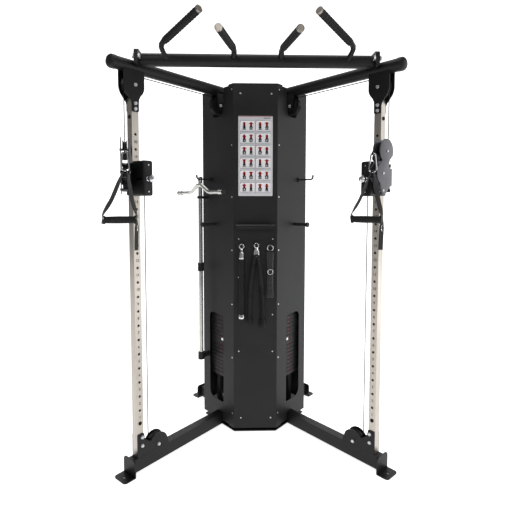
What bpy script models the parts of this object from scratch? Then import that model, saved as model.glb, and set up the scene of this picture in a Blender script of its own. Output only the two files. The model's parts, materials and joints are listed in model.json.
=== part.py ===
"""Cable crossover machine: a two-sided adjustable pulley trainer with a central weight tower.

Metres, +Z up. The machine faces -Y. Each side is built once in its own local frame, and the
two sides are mirror images across the plane X = 0 unless a comment says otherwise.
"""
import bpy
import bmesh
from math import cos, sin, pi, radians, sqrt
from mathutils import Matrix, Vector

# ---------------------------------------------------------------- driving dimensions
SPLAY = radians(49.0)            # angle of the arms, legs and side panels to the X axis
UPRIGHT_X = 0.626                # upright tube centre, each side
UPRIGHT_Y = -0.30835           # plane of the two uprights
TOWER_HALF = 0.130               # half width of the tower's flat front
TOWER_Y = UPRIGHT_Y + 0.354      # front face of the tower
GAP = 0.0003                     # clearance between pieces that touch

TUBE = 0.040                     # upright, outside width
TUBE_WALL = 0.0025
UPRIGHT_TOP = 1.935
HOLE_TOP = 1.757                 # first adjustment hole
HOLE_PITCH = 0.075
HOLE_COUNT = 20
HOLE_R = 0.0055
PIN_Z = HOLE_TOP - 3 * HOLE_PITCH

ARM_R = 0.03175                  # arms and crossbar, 63.5 mm tube
ARM_Z = 2.092
BAR_Z = 2.126
LEG_W = 0.050
LEG_LOW = 0.012
LEG_TOP = 0.082
LEG_WALL = 0.003
PLATE_IN = 0.0203                # inner face of a bracket plate from the centre plane
PLATE_T = 0.005

WHEEL_R = 0.057                  # large sheave
CORD_AT = 0.050                  # cord centre line on a large sheave
GROOVE_R = 0.0460
WHEEL_W = 0.024
AXLE_R = 0.006
CORD_R = 0.0025
TOP_AXLE_Z = 2.000
LOW_AXLE_U = -0.113
LOW_AXLE_Z = 0.104
ROOT_AXLE_U = -0.6034            # sheave at the root of the arm, inside the tower
BACK_AXLE_U = -0.7734            # rear sheaves inside the tower
FLOAT_U = -0.6884                # centre of the weight stack, on the arm's centre plane
FLOAT_Z = 0.807
FLOAT_AT = 0.035

PANEL_LEN = 0.310
PANEL_LOW = 0.035
PANEL_TOP = 2.107
COVER_LOW = 0.030
COVER_TOP = 2.114
SHEET = 0.002

STACK_S = 0.154                  # weight stack centre, along and behind the side panel
STACK_T = 0.075
STACK_W = 0.220
STACK_D = 0.100
STACK_LOW = 0.305
STACK_SPLIT = 0.542
PLATE_PITCH = 0.0250
ROD_R = 0.0095
ROD_OUT = 0.085

SWIVEL_U = 0.050                 # vertical swivel axis, in front of the upright
SMALL_R = 0.049                  # small sheave on the carriage
SMALL_AT = 0.042
SMALL_GROOVE = 0.0383
UP_D, UP_Z = 0.042, 1.672        # upper and lower small sheave, from the swivel axis
LOW_D, LOW_Z = 0.075, 1.562
TURN = {-1: radians(33.4), 1: 0.0}   # how far each swivel is turned towards the front at rest
HANG_D = 0.136                   # ring that the carabiner hangs in
HANG_Z = 1.655
GRIP_Z = 1.335
TWIST = {-1: 0.0, 1: radians(16.0)}    # how far each grip has twisted on its carabiner
SIDES = {-1: "left", 1: "right"}


# ---------------------------------------------------------------- scene and collections
for old in list(bpy.data.objects):
    bpy.data.objects.remove(old, do_unlink=True)

MACHINE = bpy.data.collections.new("cable_crossover_machine")
bpy.context.scene.collection.children.link(MACHINE)


# ---------------------------------------------------------------- materials
def material(name, colour, roughness, metallic=0.0):
    """One Principled material; the colour is linear RGB."""
    made = bpy.data.materials.new(name)
    made.use_nodes = True
    shader = made.node_tree.nodes["Principled BSDF"]
    shader.inputs["Base Color"].default_value = (*colour, 1.0)
    shader.inputs["Roughness"].default_value = roughness
    shader.inputs["Metallic"].default_value = metallic
    return made


PALETTE = {
    "black_powder": ((0.016, 0.016, 0.017), 0.45, 0.2),
    "satin_panel": ((0.021, 0.021, 0.022), 0.42, 0.2),
    "grey_plate": ((0.060, 0.060, 0.066), 0.45, 0.2),
    "brushed_tube": ((0.62, 0.59, 0.54), 0.30, 1.0),
    "chrome": ((0.78, 0.78, 0.78), 0.12, 1.0),
    "cast_weight": ((0.020, 0.020, 0.021), 0.60, 0.1),
    "nylon_wheel": ((0.014, 0.014, 0.015), 0.38, 0.0),
    "black_cord": ((0.012, 0.012, 0.013), 0.55, 0.0),
    "rubber": ((0.018, 0.018, 0.018), 0.70, 0.0),
    "webbing": ((0.015, 0.015, 0.016), 0.85, 0.0),
    "chart_card": ((0.83, 0.83, 0.83), 0.50, 0.0),
    "machine_plastic": ((0.020, 0.020, 0.021), 0.40, 0.0),
}


# ---------------------------------------------------------------- frames
def axes(first, second, origin):
    """Matrix whose first two columns are horizontal directions and whose third is +Z."""
    matrix = Matrix.Identity(4)
    for row in range(2):
        matrix[row][0] = first[row]
        matrix[row][1] = second[row]
    matrix.translation = Vector(origin)
    return matrix


def arm_frame(side):
    """u runs outward along the arm, n runs inward and forward, square to it."""
    return axes((side * cos(SPLAY), -sin(SPLAY)), (-side * sin(SPLAY), -cos(SPLAY)),
                (side * UPRIGHT_X, UPRIGHT_Y, 0.0))


def panel_frame(side):
    """s runs back along the side panel from its front corner, t runs into the tower."""
    return axes((side * cos(SPLAY), sin(SPLAY)), (-side * sin(SPLAY), cos(SPLAY)),
                (side * TOWER_HALF, TOWER_Y, 0.0))


def swivel_frame(side, mirrored=True):
    """d points where the swivel points; c is sideways. The origin is on the swivel axis."""
    turned = radians(90.0) - SPLAY + TURN[side]
    forward = (-side * cos(turned), -sin(turned))
    across = (side * sin(turned), -cos(turned)) if mirrored else (-forward[1], forward[0])
    origin = arm_frame(side) @ Vector((SWIVEL_U, 0.0, 0.0))
    return axes(forward, across, origin)


# ---------------------------------------------------------------- raw shapes
def raw(name, data):
    """A temporary object, linked so that its modifiers can be evaluated."""
    made = bpy.data.objects.new(name, data)
    bpy.context.scene.collection.objects.link(made)
    return made


def mesh_object(name, bm):
    bmesh.ops.recalc_face_normals(bm, faces=bm.faces)
    data = bpy.data.meshes.new(name)
    bm.to_mesh(data)
    bm.free()
    return raw(name, data)


def box(low, high, bevel=0.0, segments=2):
    """A box between two corners, with its edges rounded if a bevel is given."""
    bm = bmesh.new()
    size = [b - a for a, b in zip(low, high)]
    centre = [(a + b) / 2 for a, b in zip(low, high)]
    bmesh.ops.create_cube(bm, size=1.0, matrix=Matrix.LocRotScale(centre, None, size))
    made = mesh_object("box", bm)
    if bevel:
        edge = made.modifiers.new("round", "BEVEL")
        edge.width = bevel
        edge.segments = segments
        edge.limit_method = "ANGLE"
    return made


def rod(start, end, radius, sides=24, radius_end=None):
    """A cylinder or cone between two points."""
    start, end = Vector(start), Vector(end)
    along = end - start
    bm = bmesh.new()
    turn = along.to_track_quat("Z", "Y").to_matrix().to_4x4()
    place = Matrix.Translation((start + end) / 2) @ turn
    bmesh.ops.create_cone(bm, cap_ends=True, segments=sides, radius1=radius,
                          radius2=radius if radius_end is None else radius_end,
                          depth=along.length, matrix=place)
    return mesh_object("rod", bm)


def ball(centre, radius, sides=20):
    bm = bmesh.new()
    bmesh.ops.create_uvsphere(bm, u_segments=sides, v_segments=sides // 2, radius=radius,
                              matrix=Matrix.Translation(centre))
    return mesh_object("ball", bm)


def turned(profile, start, along, sides=24):
    """A turned solid: profile of (radius, height) points about an axis through start."""
    bm = bmesh.new()
    points = [bm.verts.new((max(r, 0.0), 0.0, h)) for r, h in profile]
    for a, b in zip(points, points[1:]):
        bm.edges.new((a, b))
    data = bpy.data.meshes.new("turned")
    bm.to_mesh(data)
    bm.free()
    made = raw("turned", data)
    screw = made.modifiers.new("turn", "SCREW")
    screw.steps = sides
    screw.render_steps = sides
    screw.use_merge_vertices = True
    screw.merge_threshold = 0.00001
    made.matrix_world = (Matrix.Translation(start)
                         @ Vector(along).to_track_quat("Z", "Y").to_matrix().to_4x4())
    return made


def outline(loops, low, high, axis):
    """A flat outline with any holes, extruded from low to high along X, Y or Z.

    The outline's own coordinates are the other two axes in X, Y, Z order.
    """
    data = bpy.data.curves.new("outline", "CURVE")
    data.dimensions = "2D"
    data.fill_mode = "BOTH"
    data.extrude = (high - low) / 2
    for loop in loops:
        spline = data.splines.new("POLY")
        spline.points.add(len(loop) - 1)
        for point, (a, b) in zip(spline.points, loop):
            point.co = (a, b, 0.0, 1.0)
        spline.use_cyclic_u = True
    made = raw("outline", data)
    middle = (high + low) / 2
    if axis == "Z":
        made.matrix_world = Matrix.Translation((0, 0, middle))
    elif axis == "Y":
        made.matrix_world = Matrix.Translation((0, middle, 0)) @ Matrix.Rotation(pi / 2, 4, "X")
    else:
        made.matrix_world = (Matrix.Translation((middle, 0, 0))
                             @ Matrix(((0, 0, 1, 0), (1, 0, 0, 0), (0, 1, 0, 0), (0, 0, 0, 1))))
    return made


def tube(points, radius, closed=False, sides=1):
    """A round wire along a line of points, its ends capped."""
    data = bpy.data.curves.new("tube", "CURVE")
    data.dimensions = "3D"
    data.bevel_depth = radius
    data.bevel_resolution = sides
    data.use_fill_caps = not closed
    spline = data.splines.new("POLY")
    spline.points.add(len(points) - 1)
    for point, co in zip(spline.points, points):
        point.co = (*co, 1.0)
    spline.use_cyclic_u = closed
    return raw("tube", data)


def strip(points, half_width, thickness):
    """A flat strap: a path in the Y-Z plane, its width along X."""
    shape = []
    for sign in (1, -1):
        row = []
        for index, point in enumerate(points):
            before = Vector(points[max(index - 1, 0)])
            after = Vector(points[min(index + 1, len(points) - 1)])
            along = (after - before).normalized()
            normal = Vector((-along.y, along.x))
            row.append(tuple(Vector(point) + normal * sign * thickness / 2))
        shape += row if sign == 1 else row[::-1]
    return outline([shape], -half_width, half_width, "X")


def arc(centre, radius, start, end, steps):
    """Points on an arc in a plane, angles in degrees."""
    return [(centre[0] + radius * cos(radians(start + (end - start) * k / steps)),
             centre[1] + radius * sin(radians(start + (end - start) * k / steps)))
            for k in range(steps + 1)]


def rounded(x0, y0, x1, y1, radius, steps=3):
    """A rectangle with rounded corners; radius is one value or four from lower left on."""
    r = radius if isinstance(radius, (list, tuple)) else (radius,) * 4
    corners = ((x0, y0, r[0], 180), (x1, y0, r[1], 270), (x1, y1, r[2], 0), (x0, y1, r[3], 90))
    loop = []
    for x, y, cut, start in corners:
        if cut <= 0:
            loop.append((x, y))
            continue
        centre = (x + cut * (1 if x == x0 else -1), y + cut * (1 if y == y0 else -1))
        loop += arc(centre, cut, start, start + 90, steps)
    return loop


# ---------------------------------------------------------------- joining and placing
def baked(made):
    """The evaluated mesh of a raw shape in world space, closed where its caps were loose."""
    graph = bpy.context.evaluated_depsgraph_get()
    data = bpy.data.meshes.new_from_object(made.evaluated_get(graph))
    data.transform(made.matrix_world)
    bm = bmesh.new()
    bm.from_mesh(data)
    bmesh.ops.remove_doubles(bm, verts=bm.verts, dist=0.000005)
    bmesh.ops.recalc_face_normals(bm, faces=bm.faces)
    bm.to_mesh(data)
    bm.free()
    bpy.data.objects.remove(made, do_unlink=True)
    return raw("baked", data)


def combine(base, others, operation):
    """Union with, or difference of, each other shape in turn."""
    solid = baked(base)
    for other in others:
        tool = baked(other)
        step = solid.modifiers.new(operation.lower(), "BOOLEAN")
        step.operation = operation
        step.solver = "EXACT"
        step.object = tool
        result = baked(solid)
        bpy.data.objects.remove(tool, do_unlink=True)
        solid = result
    return solid


def join(base, *others):
    return combine(base, others, "UNION")


def cut(base, *others):
    return combine(base, others, "DIFFERENCE")


def emit(name, shape, frame, origin, slot, angle=35.0, keep=False):
    """Place a finished shape as a named piece with its origin on its own joint or centre."""
    solid = baked(shape) if not keep else shape
    data = solid.data.copy()
    data.transform(frame)
    pivot = frame @ Vector(origin)
    data.transform(Matrix.Translation(-pivot))
    bm = bmesh.new()
    bm.from_mesh(data)
    bmesh.ops.dissolve_limit(bm, angle_limit=radians(0.3), verts=bm.verts, edges=bm.edges)
    bmesh.ops.triangulate(bm, faces=bm.faces)
    bmesh.ops.recalc_face_normals(bm, faces=bm.faces)
    bm.to_mesh(data)
    bm.free()
    data.name = name
    data.shade_smooth()
    data.set_sharp_from_angle(angle=radians(angle))
    data.materials.clear()
    colour, roughness, metallic = PALETTE[slot]
    data.materials.append(material(name, colour, roughness, metallic))
    made = bpy.data.objects.new(name, data)
    made.location = pivot
    MACHINE.objects.link(made)
    if not keep:
        bpy.data.objects.remove(solid, do_unlink=True)
    return made


def emit_pair(name, shape, frame, origin, slot, angle=35.0):
    """The same shape on both sides, mirrored by the frame."""
    solid = baked(shape)
    for side, word in SIDES.items():
        emit(f"{name}_{word}", solid, frame(side), origin, slot, angle, keep=True)
    bpy.data.objects.remove(solid, do_unlink=True)


# ---------------------------------------------------------------- sheaves
def sheave(radius, groove, width, bore, start, along, sides=16):
    """A grooved wheel, its web tapering from a thick hub to a thin rim."""
    half = width / 2
    web = half - 0.0035
    profile = [(bore, -half), (radius - 0.009, -web), (radius, -half), (groove, -0.0032),
               (groove, 0.0032), (radius, half), (radius - 0.009, web), (bore, half),
               (bore, -half)]
    return turned(profile, start, along, sides)


def plain_sheave(radius, groove, width, start, sides=14):
    """A grooved wheel with flat faces, for the sheaves hidden inside the tower."""
    half = width / 2
    profile = [(0.0, -half), (radius, -half), (groove, -0.0032), (groove, 0.0032),
               (radius, half), (0.0, half)]
    return turned(profile, start, (0, 1, 0), sides)


# ---------------------------------------------------------------- frame weldments
def uprights():
    """Square tubes with a row of adjustment holes down the inner face."""
    half = TUBE / 2
    inner = half - TUBE_WALL
    tube_body = box((-half, -half, LEG_TOP + GAP), (half, half, UPRIGHT_TOP))
    bore = box((-inner, -inner, 0.0), (inner, inner, 2.1))
    holes = [rod((0, 0.010, HOLE_TOP - k * HOLE_PITCH), (0, 0.030, HOLE_TOP - k * HOLE_PITCH),
                 HOLE_R, 8) for k in range(HOLE_COUNT)]
    emit_pair("upright", cut(tube_body, bore, *holes), arm_frame, (0, 0, LEG_TOP + GAP),
              "brushed_tube")


def arms():
    """Round arms from the tower to the uprights, with the top sheave's side plates."""
    profile = [(0.0, -0.750), (ARM_R, -0.750), (ARM_R, 0.098), (0.0335, 0.0985), (0.0335, 0.117),
               (0.0318, 0.124), (0.0260, 0.131), (0.0150, 0.1355), (0.0, 0.137)]
    body = turned(profile, (0, 0, ARM_Z), (1, 0, 0), 24)
    side_plate = ([(-0.054, 2.088), (-0.054, 1.990)] + [(-0.052, 1.978), (-0.044, 1.962),
                  (-0.030, 1.946), (-0.022, 1.930), (-0.020, 1.915)]
                  + arc((-0.012, 1.876), 0.008, 180, 270, 3) + arc((0.012, 1.876), 0.008, 270, 360, 3)
                  + [(0.020, 1.905), (0.024, 1.918), (0.040, 1.937), (0.055, 1.957),
                     (0.063, 1.976), (0.065, 1.990), (0.065, 2.088)])
    plates = [outline([side_plate], PLATE_IN, PLATE_IN + PLATE_T, "Y"),
              outline([side_plate], -PLATE_IN - PLATE_T, -PLATE_IN, "Y")]
    hanger = rounded(ROOT_AXLE_U - 0.026, 1.974, ROOT_AXLE_U + 0.026, 2.088, (0.02, 0.02, 0, 0))
    plates += [outline([hanger], PLATE_IN, PLATE_IN + PLATE_T, "Y"),
               outline([hanger], -PLATE_IN - PLATE_T, -PLATE_IN, "Y")]
    axles = [rod((u, -0.029, TOP_AXLE_Z), (u, 0.029, TOP_AXLE_Z), AXLE_R, 12)
             for u in (0.0, ROOT_AXLE_U)]
    ear = baked(outline([rounded(-0.055, 2.095, 0.055, 2.168, (0, 0, 0.02, 0.02))],
                        0.0, 0.010, "X"))
    ear.data.transform(arm_frame(-1).inverted()
                       @ Matrix.Translation((-0.604, UPRIGHT_Y, 0.0)))
    emit_pair("arm", join(body, *plates, *axles, ear), arm_frame, (0, 0, ARM_Z), "black_powder")


def legs():
    """Hollow box legs with the floor foot and the low sheave's bracket."""
    half = LEG_W / 2
    inner = half - LEG_WALL
    body = box((-0.700, -half, LEG_LOW), (0.0500, half, LEG_TOP))
    foot_wall = outline([rounded(-0.050, 0.003, 0.050, 0.090, (0, 0, 0.016, 0.016))],
                        0.0495, 0.0560, "X")
    floor = outline([rounded(0.0510, -0.0495, 0.117, 0.0495, (0, 0.016, 0.016, 0)),
                     arc((0.088, 0.0), 0.006, 0, 330, 11)], 0.0, 0.006, "Z")
    hollow = box((-0.710, -inner, LEG_LOW + LEG_WALL), (0.0460, inner, LEG_TOP - LEG_WALL))
    slot = box((-0.176, -0.015, 0.070), (-0.050, 0.015, 0.090))
    shell = cut(join(body, foot_wall, floor), hollow, slot)
    top = arc((LOW_AXLE_U, LOW_AXLE_Z), 0.062, 35, 150, 8)
    side_plate = ([(0.019, 0.0805), (0.019, 0.196)] + arc((0.009, 0.196), 0.010, 0, 90, 3)
                  + arc((-0.012, 0.196), 0.010, 90, 170, 3) + [(-0.024, 0.172), (-0.038, 0.158)]
                  + top + [(-0.176, 0.110), (-0.182, 0.0805)])
    plates = [outline([side_plate], PLATE_IN, 0.0245, "Y"),
              outline([side_plate], -0.0245, -PLATE_IN, "Y")]
    axle = rod((LOW_AXLE_U, -0.029, LOW_AXLE_Z), (LOW_AXLE_U, 0.029, LOW_AXLE_Z), AXLE_R, 12)
    emit_pair("leg", join(shell, *plates, axle), arm_frame, (0, 0, 0.0), "black_powder")


def crossbar():
    """The straight top bar, coped over the arms, with four welded pull-up handles."""
    bar = rod((-0.5845, UPRIGHT_Y, BAR_Z), (0.5845, UPRIGHT_Y, BAR_Z), ARM_R, 24)
    ends = [outline([rounded(UPRIGHT_Y - 0.055, 2.088, UPRIGHT_Y + 0.055, 2.168,
                             (0.01, 0.01, 0.02, 0.02))], a, b, "X")
            for a, b in ((-0.5937, -0.5840), (0.5840, 0.5937))]
    handles = []
    for side in SIDES:
        wide = [(0.445, 0.015, 2.121), (0.448, -0.025, 2.128), (0.462, -0.056, 2.150),
                (0.466, -0.070, 2.163), (0.463, -0.082, 2.173), (0.452, -0.096, 2.180)]
        near = [(0.118, 0.015, 2.121), (0.117, -0.035, 2.135), (0.1155, -0.060, 2.149),
                (0.116, -0.073, 2.154), (0.118, -0.090, 2.156)]
        for path, tip in ((wide, (0.2645, -0.270, 2.258)), (near, (0.176, -0.310, 2.165))):
            place = [(side * x, UPRIGHT_Y + y, z) for x, y, z in path]
            end = Vector((side * tip[0], UPRIGHT_Y + tip[1], tip[2]))
            first = Vector(place[-1])
            handles.append(tube(place + [tuple(end)], 0.0135))
            handles.append(rod(first.lerp(end, 0.04), end, 0.0168, 16))
    saddles = []
    for side in SIDES:
        matrix = arm_frame(side)
        saddles.append(rod(matrix @ Vector((-0.20, 0, ARM_Z)), matrix @ Vector((0.15, 0, ARM_Z)),
                           ARM_R + 0.0006, 24))
    emit("crossbar", cut(join(bar, *ends, *handles), *saddles), Matrix.Identity(4),
         (0, UPRIGHT_Y, BAR_Z), "black_powder")


# ---------------------------------------------------------------- tower
def plan(side, s, t):
    """A point of the plan, from its place in the side panel's frame."""
    spot = panel_frame(side) @ Vector((s, t, 0.0))
    return (spot.x, spot.y)


def corner(side, depth):
    """Plan point where the front sheet meets its flange, both the same depth proud."""
    s = -depth * (1 - cos(SPLAY)) / sin(SPLAY)
    return plan(side, s, -depth)


def covers():
    """Folded front cover, two side panels, rear cover."""
    out, into = SHEET + GAP, GAP
    flange = 0.045
    loop = [plan(-1, flange, -out), corner(-1, out), corner(1, out), plan(1, flange, -out),
            plan(1, flange, -into), corner(1, into), corner(-1, into), plan(-1, flange, -into)]
    emit("front_cover", outline([loop], COVER_LOW, COVER_TOP, "Z"), Matrix.Identity(4),
         (0, TOWER_Y, 0), "satin_panel", 20)

    wall = [(0.003, PANEL_LOW), (0.1150, PANEL_LOW), (0.1150, 0.084), (0.1730, 0.084),
            (0.1730, PANEL_LOW), (PANEL_LEN, PANEL_LOW), (PANEL_LEN, PANEL_TOP),
            (0.212, PANEL_TOP)]
    wall += [(0.204, 2.020)] + arc((0.178, 1.966), 0.026, 0, -90, 4)
    wall += arc((0.132, 1.966), 0.026, 270, 180, 4) + [(0.094, 2.020), (0.088, PANEL_TOP),
                                                       (0.003, PANEL_TOP)]
    window = rounded(0.102, 0.155, 0.243, 0.715, (0.012, 0.045, 0.030, 0.030))
    panel = outline([wall, window], 0.0, SHEET, "Y")
    hook = tube([(0.225, 0.001, 1.560), (0.225, -0.094, 1.560), (0.225, -0.103, 1.564),
                 (0.225, -0.107, 1.573), (0.225, -0.108, 1.586)], 0.0055)
    hook_root = rod((0.225, 0.001, 1.560), (0.225, -0.010, 1.560), 0.014, 16)
    peg = rod((0.181, 0.001, 1.280), (0.181, -0.100, 1.280), 0.0095, 12)
    peg_end = rod((0.181, -0.092, 1.280), (0.181, -0.104, 1.280), 0.0150, 16)
    solid = join(panel, hook, hook_root, peg, peg_end)
    emit("side_panel_right", solid, panel_frame(1), (0.003, 0, PANEL_LOW), "satin_panel", 25,
         keep=True)
    cup = cut(rod((0.270, -0.050, 0.404), (0.270, -0.050, 0.450), 0.0210, 16),
              rod((0.270, -0.050, 0.409), (0.270, -0.050, 0.470), 0.0155, 16))
    cup_arm = box((0.262, -0.034, 0.412), (0.278, 0.001, 0.440))
    clip = cut(rod((0.270, -0.050, 1.440), (0.270, -0.050, 1.456), 0.0210, 16),
               rod((0.270, -0.050, 1.430), (0.270, -0.050, 1.470), 0.0155, 16))
    clip_arm = box((0.262, -0.034, 1.441), (0.278, 0.001, 1.455))
    emit("side_panel_left", join(solid, cup, cup_arm, clip, clip_arm), panel_frame(-1),
         (0.003, 0, PANEL_LOW), "satin_panel", 25)

    back = TOWER_Y + 0.346
    side_x, side_y = plan(1, PANEL_LEN, 0.001)
    side_y += 0.0012
    loop = [(-side_x, side_y), (-0.252, back), (0.252, back), (side_x, side_y),
            (side_x - 0.0025, side_y), (0.2510, back - SHEET), (-0.2510, back - SHEET),
            (-side_x + 0.0025, side_y)]
    emit("rear_cover", outline([loop], 0.092, PANEL_TOP, "Z"), Matrix.Identity(4),
         (0, back, 0), "satin_panel", 20)


def tower_frame():
    """Base plate, spine, top beam, rear legs with feet and the fixed rear sheaves."""
    floor = [plan(-1, 0.004, 0.006), plan(-1, 0.304, 0.006), (-0.240, TOWER_Y + 0.340),
             (0.240, TOWER_Y + 0.340), plan(1, 0.304, 0.006), plan(1, 0.004, 0.006)]
    base = outline([floor], 0.0050, 0.0115, "Z")
    spine = box((-0.030, TOWER_Y + 0.270, 0.010), (0.030, TOWER_Y + 0.330, 2.100))
    beam = box((-0.130, TOWER_Y + 0.258, 2.062), (0.130, TOWER_Y + 0.300, 2.106))
    sill = box((-0.235, TOWER_Y + 0.272, 0.0105), (0.235, TOWER_Y + 0.328, 0.0800))
    pieces = [spine, beam, sill]
    for side in SIDES:
        frame = arm_frame(side)
        for z in (TOP_AXLE_Z, LOW_AXLE_Z):
            wheel = baked(plain_sheave(WHEEL_R, GROOVE_R, WHEEL_W, (BACK_AXLE_U, 0, z)))
            wheel.data.transform(frame)
            pin = baked(rod((BACK_AXLE_U, -0.018, z), (BACK_AXLE_U, 0.0125, z), 0.008, 12))
            pin.data.transform(frame)
            pieces += [wheel, pin]
        hanger = baked(box((-0.862, -0.020, 1.985), (-0.755, -0.014, 2.068)))
        hanger.data.transform(frame)
        stand = baked(box((-0.800, -0.020, 0.008), (-0.747, -0.014, 0.116)))
        stand.data.transform(frame)
        turn = Matrix.Translation((side * 0.19, TOWER_Y + 0.325, 0)) @ Matrix.Rotation(
            radians(45.0 if side > 0 else 135.0), 4, "Z")
        leg = baked(box((-0.050, -0.025, LEG_LOW), (0.251, 0.025, LEG_TOP)))
        leg.data.transform(turn)
        plate = baked(outline([rounded(-0.050, 0.003, 0.050, 0.090, (0, 0, 0.016, 0.016))],
                              0.2495, 0.2560, "X"))
        plate.data.transform(turn)
        pad = baked(outline([rounded(0.2510, -0.0495, 0.317, 0.0495, (0, 0.016, 0.016, 0)),
                             arc((0.288, 0.0), 0.006, 0, 330, 11)], 0.0, 0.006, "Z"))
        pad.data.transform(turn)
        pieces += [hanger, stand, leg, plate, pad]
    emit("tower_frame", join(base, *pieces), Matrix.Identity(4),
         (0, TOWER_Y + 0.300, 0), "black_powder")


def front_fittings():
    """Accessory board with its tray and pegs, and the exercise chart."""
    face = TOWER_Y - SHEET - 2 * GAP
    board = outline([rounded(-0.113, 0.480, 0.113, 1.262, 0.006, 2)], face - 0.003, face, "Y")
    tray = box((-0.113, face - 0.030, 1.258), (0.113, face - 0.001, 1.2615))
    lip = box((-0.113, face - 0.0305, 1.258), (0.113, face - 0.0275, 1.282))
    pegs = [rod((x, face - 0.001, z), (x, face - 0.042, z), 0.004, 12)
            for x, z in ((-0.082, 1.160), (0.006, 1.166), (0.088, 1.156))]
    caps = [rod((x, face - 0.040, z), (x, face - 0.044, z), 0.0072, 12)
            for x, z in ((-0.082, 1.160), (0.006, 1.166), (0.088, 1.156))]
    emit("accessory_board", join(board, tray, lip, *pegs, *caps), Matrix.Identity(4),
         (0, face, 1.262), "satin_panel")
    emit("exercise_chart", outline([rounded(-0.1015, 1.455, 0.1015, 1.924, 0.004, 2)],
                                   face - 0.001, face, "Y"), Matrix.Identity(4),
         (0, face, 1.69), "chart_card")


# ---------------------------------------------------------------- weight stacks
def plate_comb(low, count, last=PLATE_PITCH):
    """Edge outline of a pile of plates with a fine groove between each two."""
    left, right = STACK_T - STACK_D / 2, STACK_T + STACK_D / 2
    heights = [low + PLATE_PITCH * k for k in range(1, count)]
    up = [(right, low)]
    for z in heights:
        up += [(right, z - 0.0012), (right - 0.003, z - 0.0006), (right - 0.003, z + 0.0006),
               (right, z + 0.0012)]
    top = low + PLATE_PITCH * (count - 1) + last
    up.append((right, top))
    down = [(left, top)]
    for z in reversed(heights):
        down += [(left, z + 0.0012), (left + 0.003, z + 0.0006), (left + 0.003, z - 0.0006),
                 (left, z - 0.0012)]
    down.append((left, low))
    return up + down


def stacks():
    """Weight plates on two guide rods a side; the upper plates hang from a floating sheave."""
    s0, s1 = STACK_S - STACK_W / 2, STACK_S + STACK_W / 2
    rod_spots = (STACK_S - ROD_OUT, STACK_S + ROD_OUT)
    count = 9
    low_top = STACK_SPLIT - GAP
    pile = outline([plate_comb(STACK_LOW, count, low_top - STACK_LOW - PLATE_PITCH * (count - 1))],
                   s0, s1, "X")
    risers = [rod((s, STACK_T, 0.0118), (s, STACK_T, STACK_LOW + 0.002), 0.020, 12)
              for s in rod_spots]
    bores = [rod((s, STACK_T, 0.0), (s, STACK_T, 0.9), ROD_R + 0.0008, 12) for s in rod_spots]
    well = rod((STACK_S, STACK_T, 0.2), (STACK_S, STACK_T, 0.9), 0.0125, 12)
    emit_pair("lower_stack", cut(join(pile, *risers), *bores, well), panel_frame,
              (STACK_S, STACK_T, STACK_LOW), "cast_weight")

    pile = outline([plate_comb(STACK_SPLIT, 8, 0.035)], s0, s1, "X")
    bores = [rod((s, STACK_T, 0.5), (s, STACK_T, 0.9), ROD_R + 0.0008, 12) for s in rod_spots]
    stem = rod((STACK_S, STACK_T, 0.330), (STACK_S, STACK_T, 0.60), 0.0110, 12)
    to_panel = panel_frame(-1).inverted() @ arm_frame(-1)
    pieces = []
    for a, b in ((0.0150, 0.0190), (-0.0190, -0.0150)):
        cheek = baked(outline([rounded(FLOAT_U - 0.022, 0.745, FLOAT_U + 0.022, 0.833,
                                       (0, 0, 0.018, 0.018))], a, b, "Y"))
        pieces.append(cheek)
    pieces.append(baked(plain_sheave(0.041, 0.0315, 0.020, (FLOAT_U, 0, FLOAT_Z), 16)))
    pieces.append(baked(rod((FLOAT_U, -0.020, FLOAT_Z), (FLOAT_U, 0.020, FLOAT_Z), 0.006, 12)))
    for piece in pieces:
        piece.data.transform(to_panel)
    socket = rod((0.125, STACK_T - STACK_D / 2 - 0.01, 0.5545), (0.125, STACK_T + 0.02, 0.5545),
                 0.0052, 16)
    body = join(cut(pile, *bores), stem, *pieces)
    emit_pair("lifted_stack", cut(body, socket), panel_frame, (STACK_S, STACK_T, STACK_SPLIT),
              "cast_weight")

    front = STACK_T - STACK_D / 2
    pin = turned([(0.0, 0.0), (0.0050, 0.0), (0.0050, 0.062), (0.0095, 0.0625), (0.0105, 0.066),
                  (0.0105, 0.076), (0.0080, 0.0795), (0.0, 0.0800)],
                 (0.125, front + 0.062, 0.5545), (0, -1, 0), 16)
    emit_pair("selector_pin", pin, panel_frame, (0.125, front, 0.5545), "chrome")

    rods = []
    for side in SIDES:
        for s in rod_spots:
            x, y = plan(side, s, STACK_T)
            rods.append(rod((x, y, 0.0118), (x, y, 1.914), ROD_R, 12))
    for side in SIDES:
        x0, y0 = plan(side, rod_spots[0] - 0.015, STACK_T)
        x1, y1 = plan(side, rod_spots[1] + 0.015, STACK_T)
        clamp = baked(box((rod_spots[0] - 0.015, STACK_T - 0.014, 1.900),
                          (rod_spots[1] + 0.015, STACK_T + 0.014, 1.915)))
        clamp.data.transform(panel_frame(side))
        rods.append(clamp)
    centre_y = plan(1, STACK_S, STACK_T)[1]
    tie = box((-0.180, centre_y - 0.013, 1.902), (0.180, centre_y + 0.013, 1.913))
    emit("guide_rods", join(tie, *reversed(rods)), Matrix.Identity(4), (0, centre_y, 1.9),
         "chrome")


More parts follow.
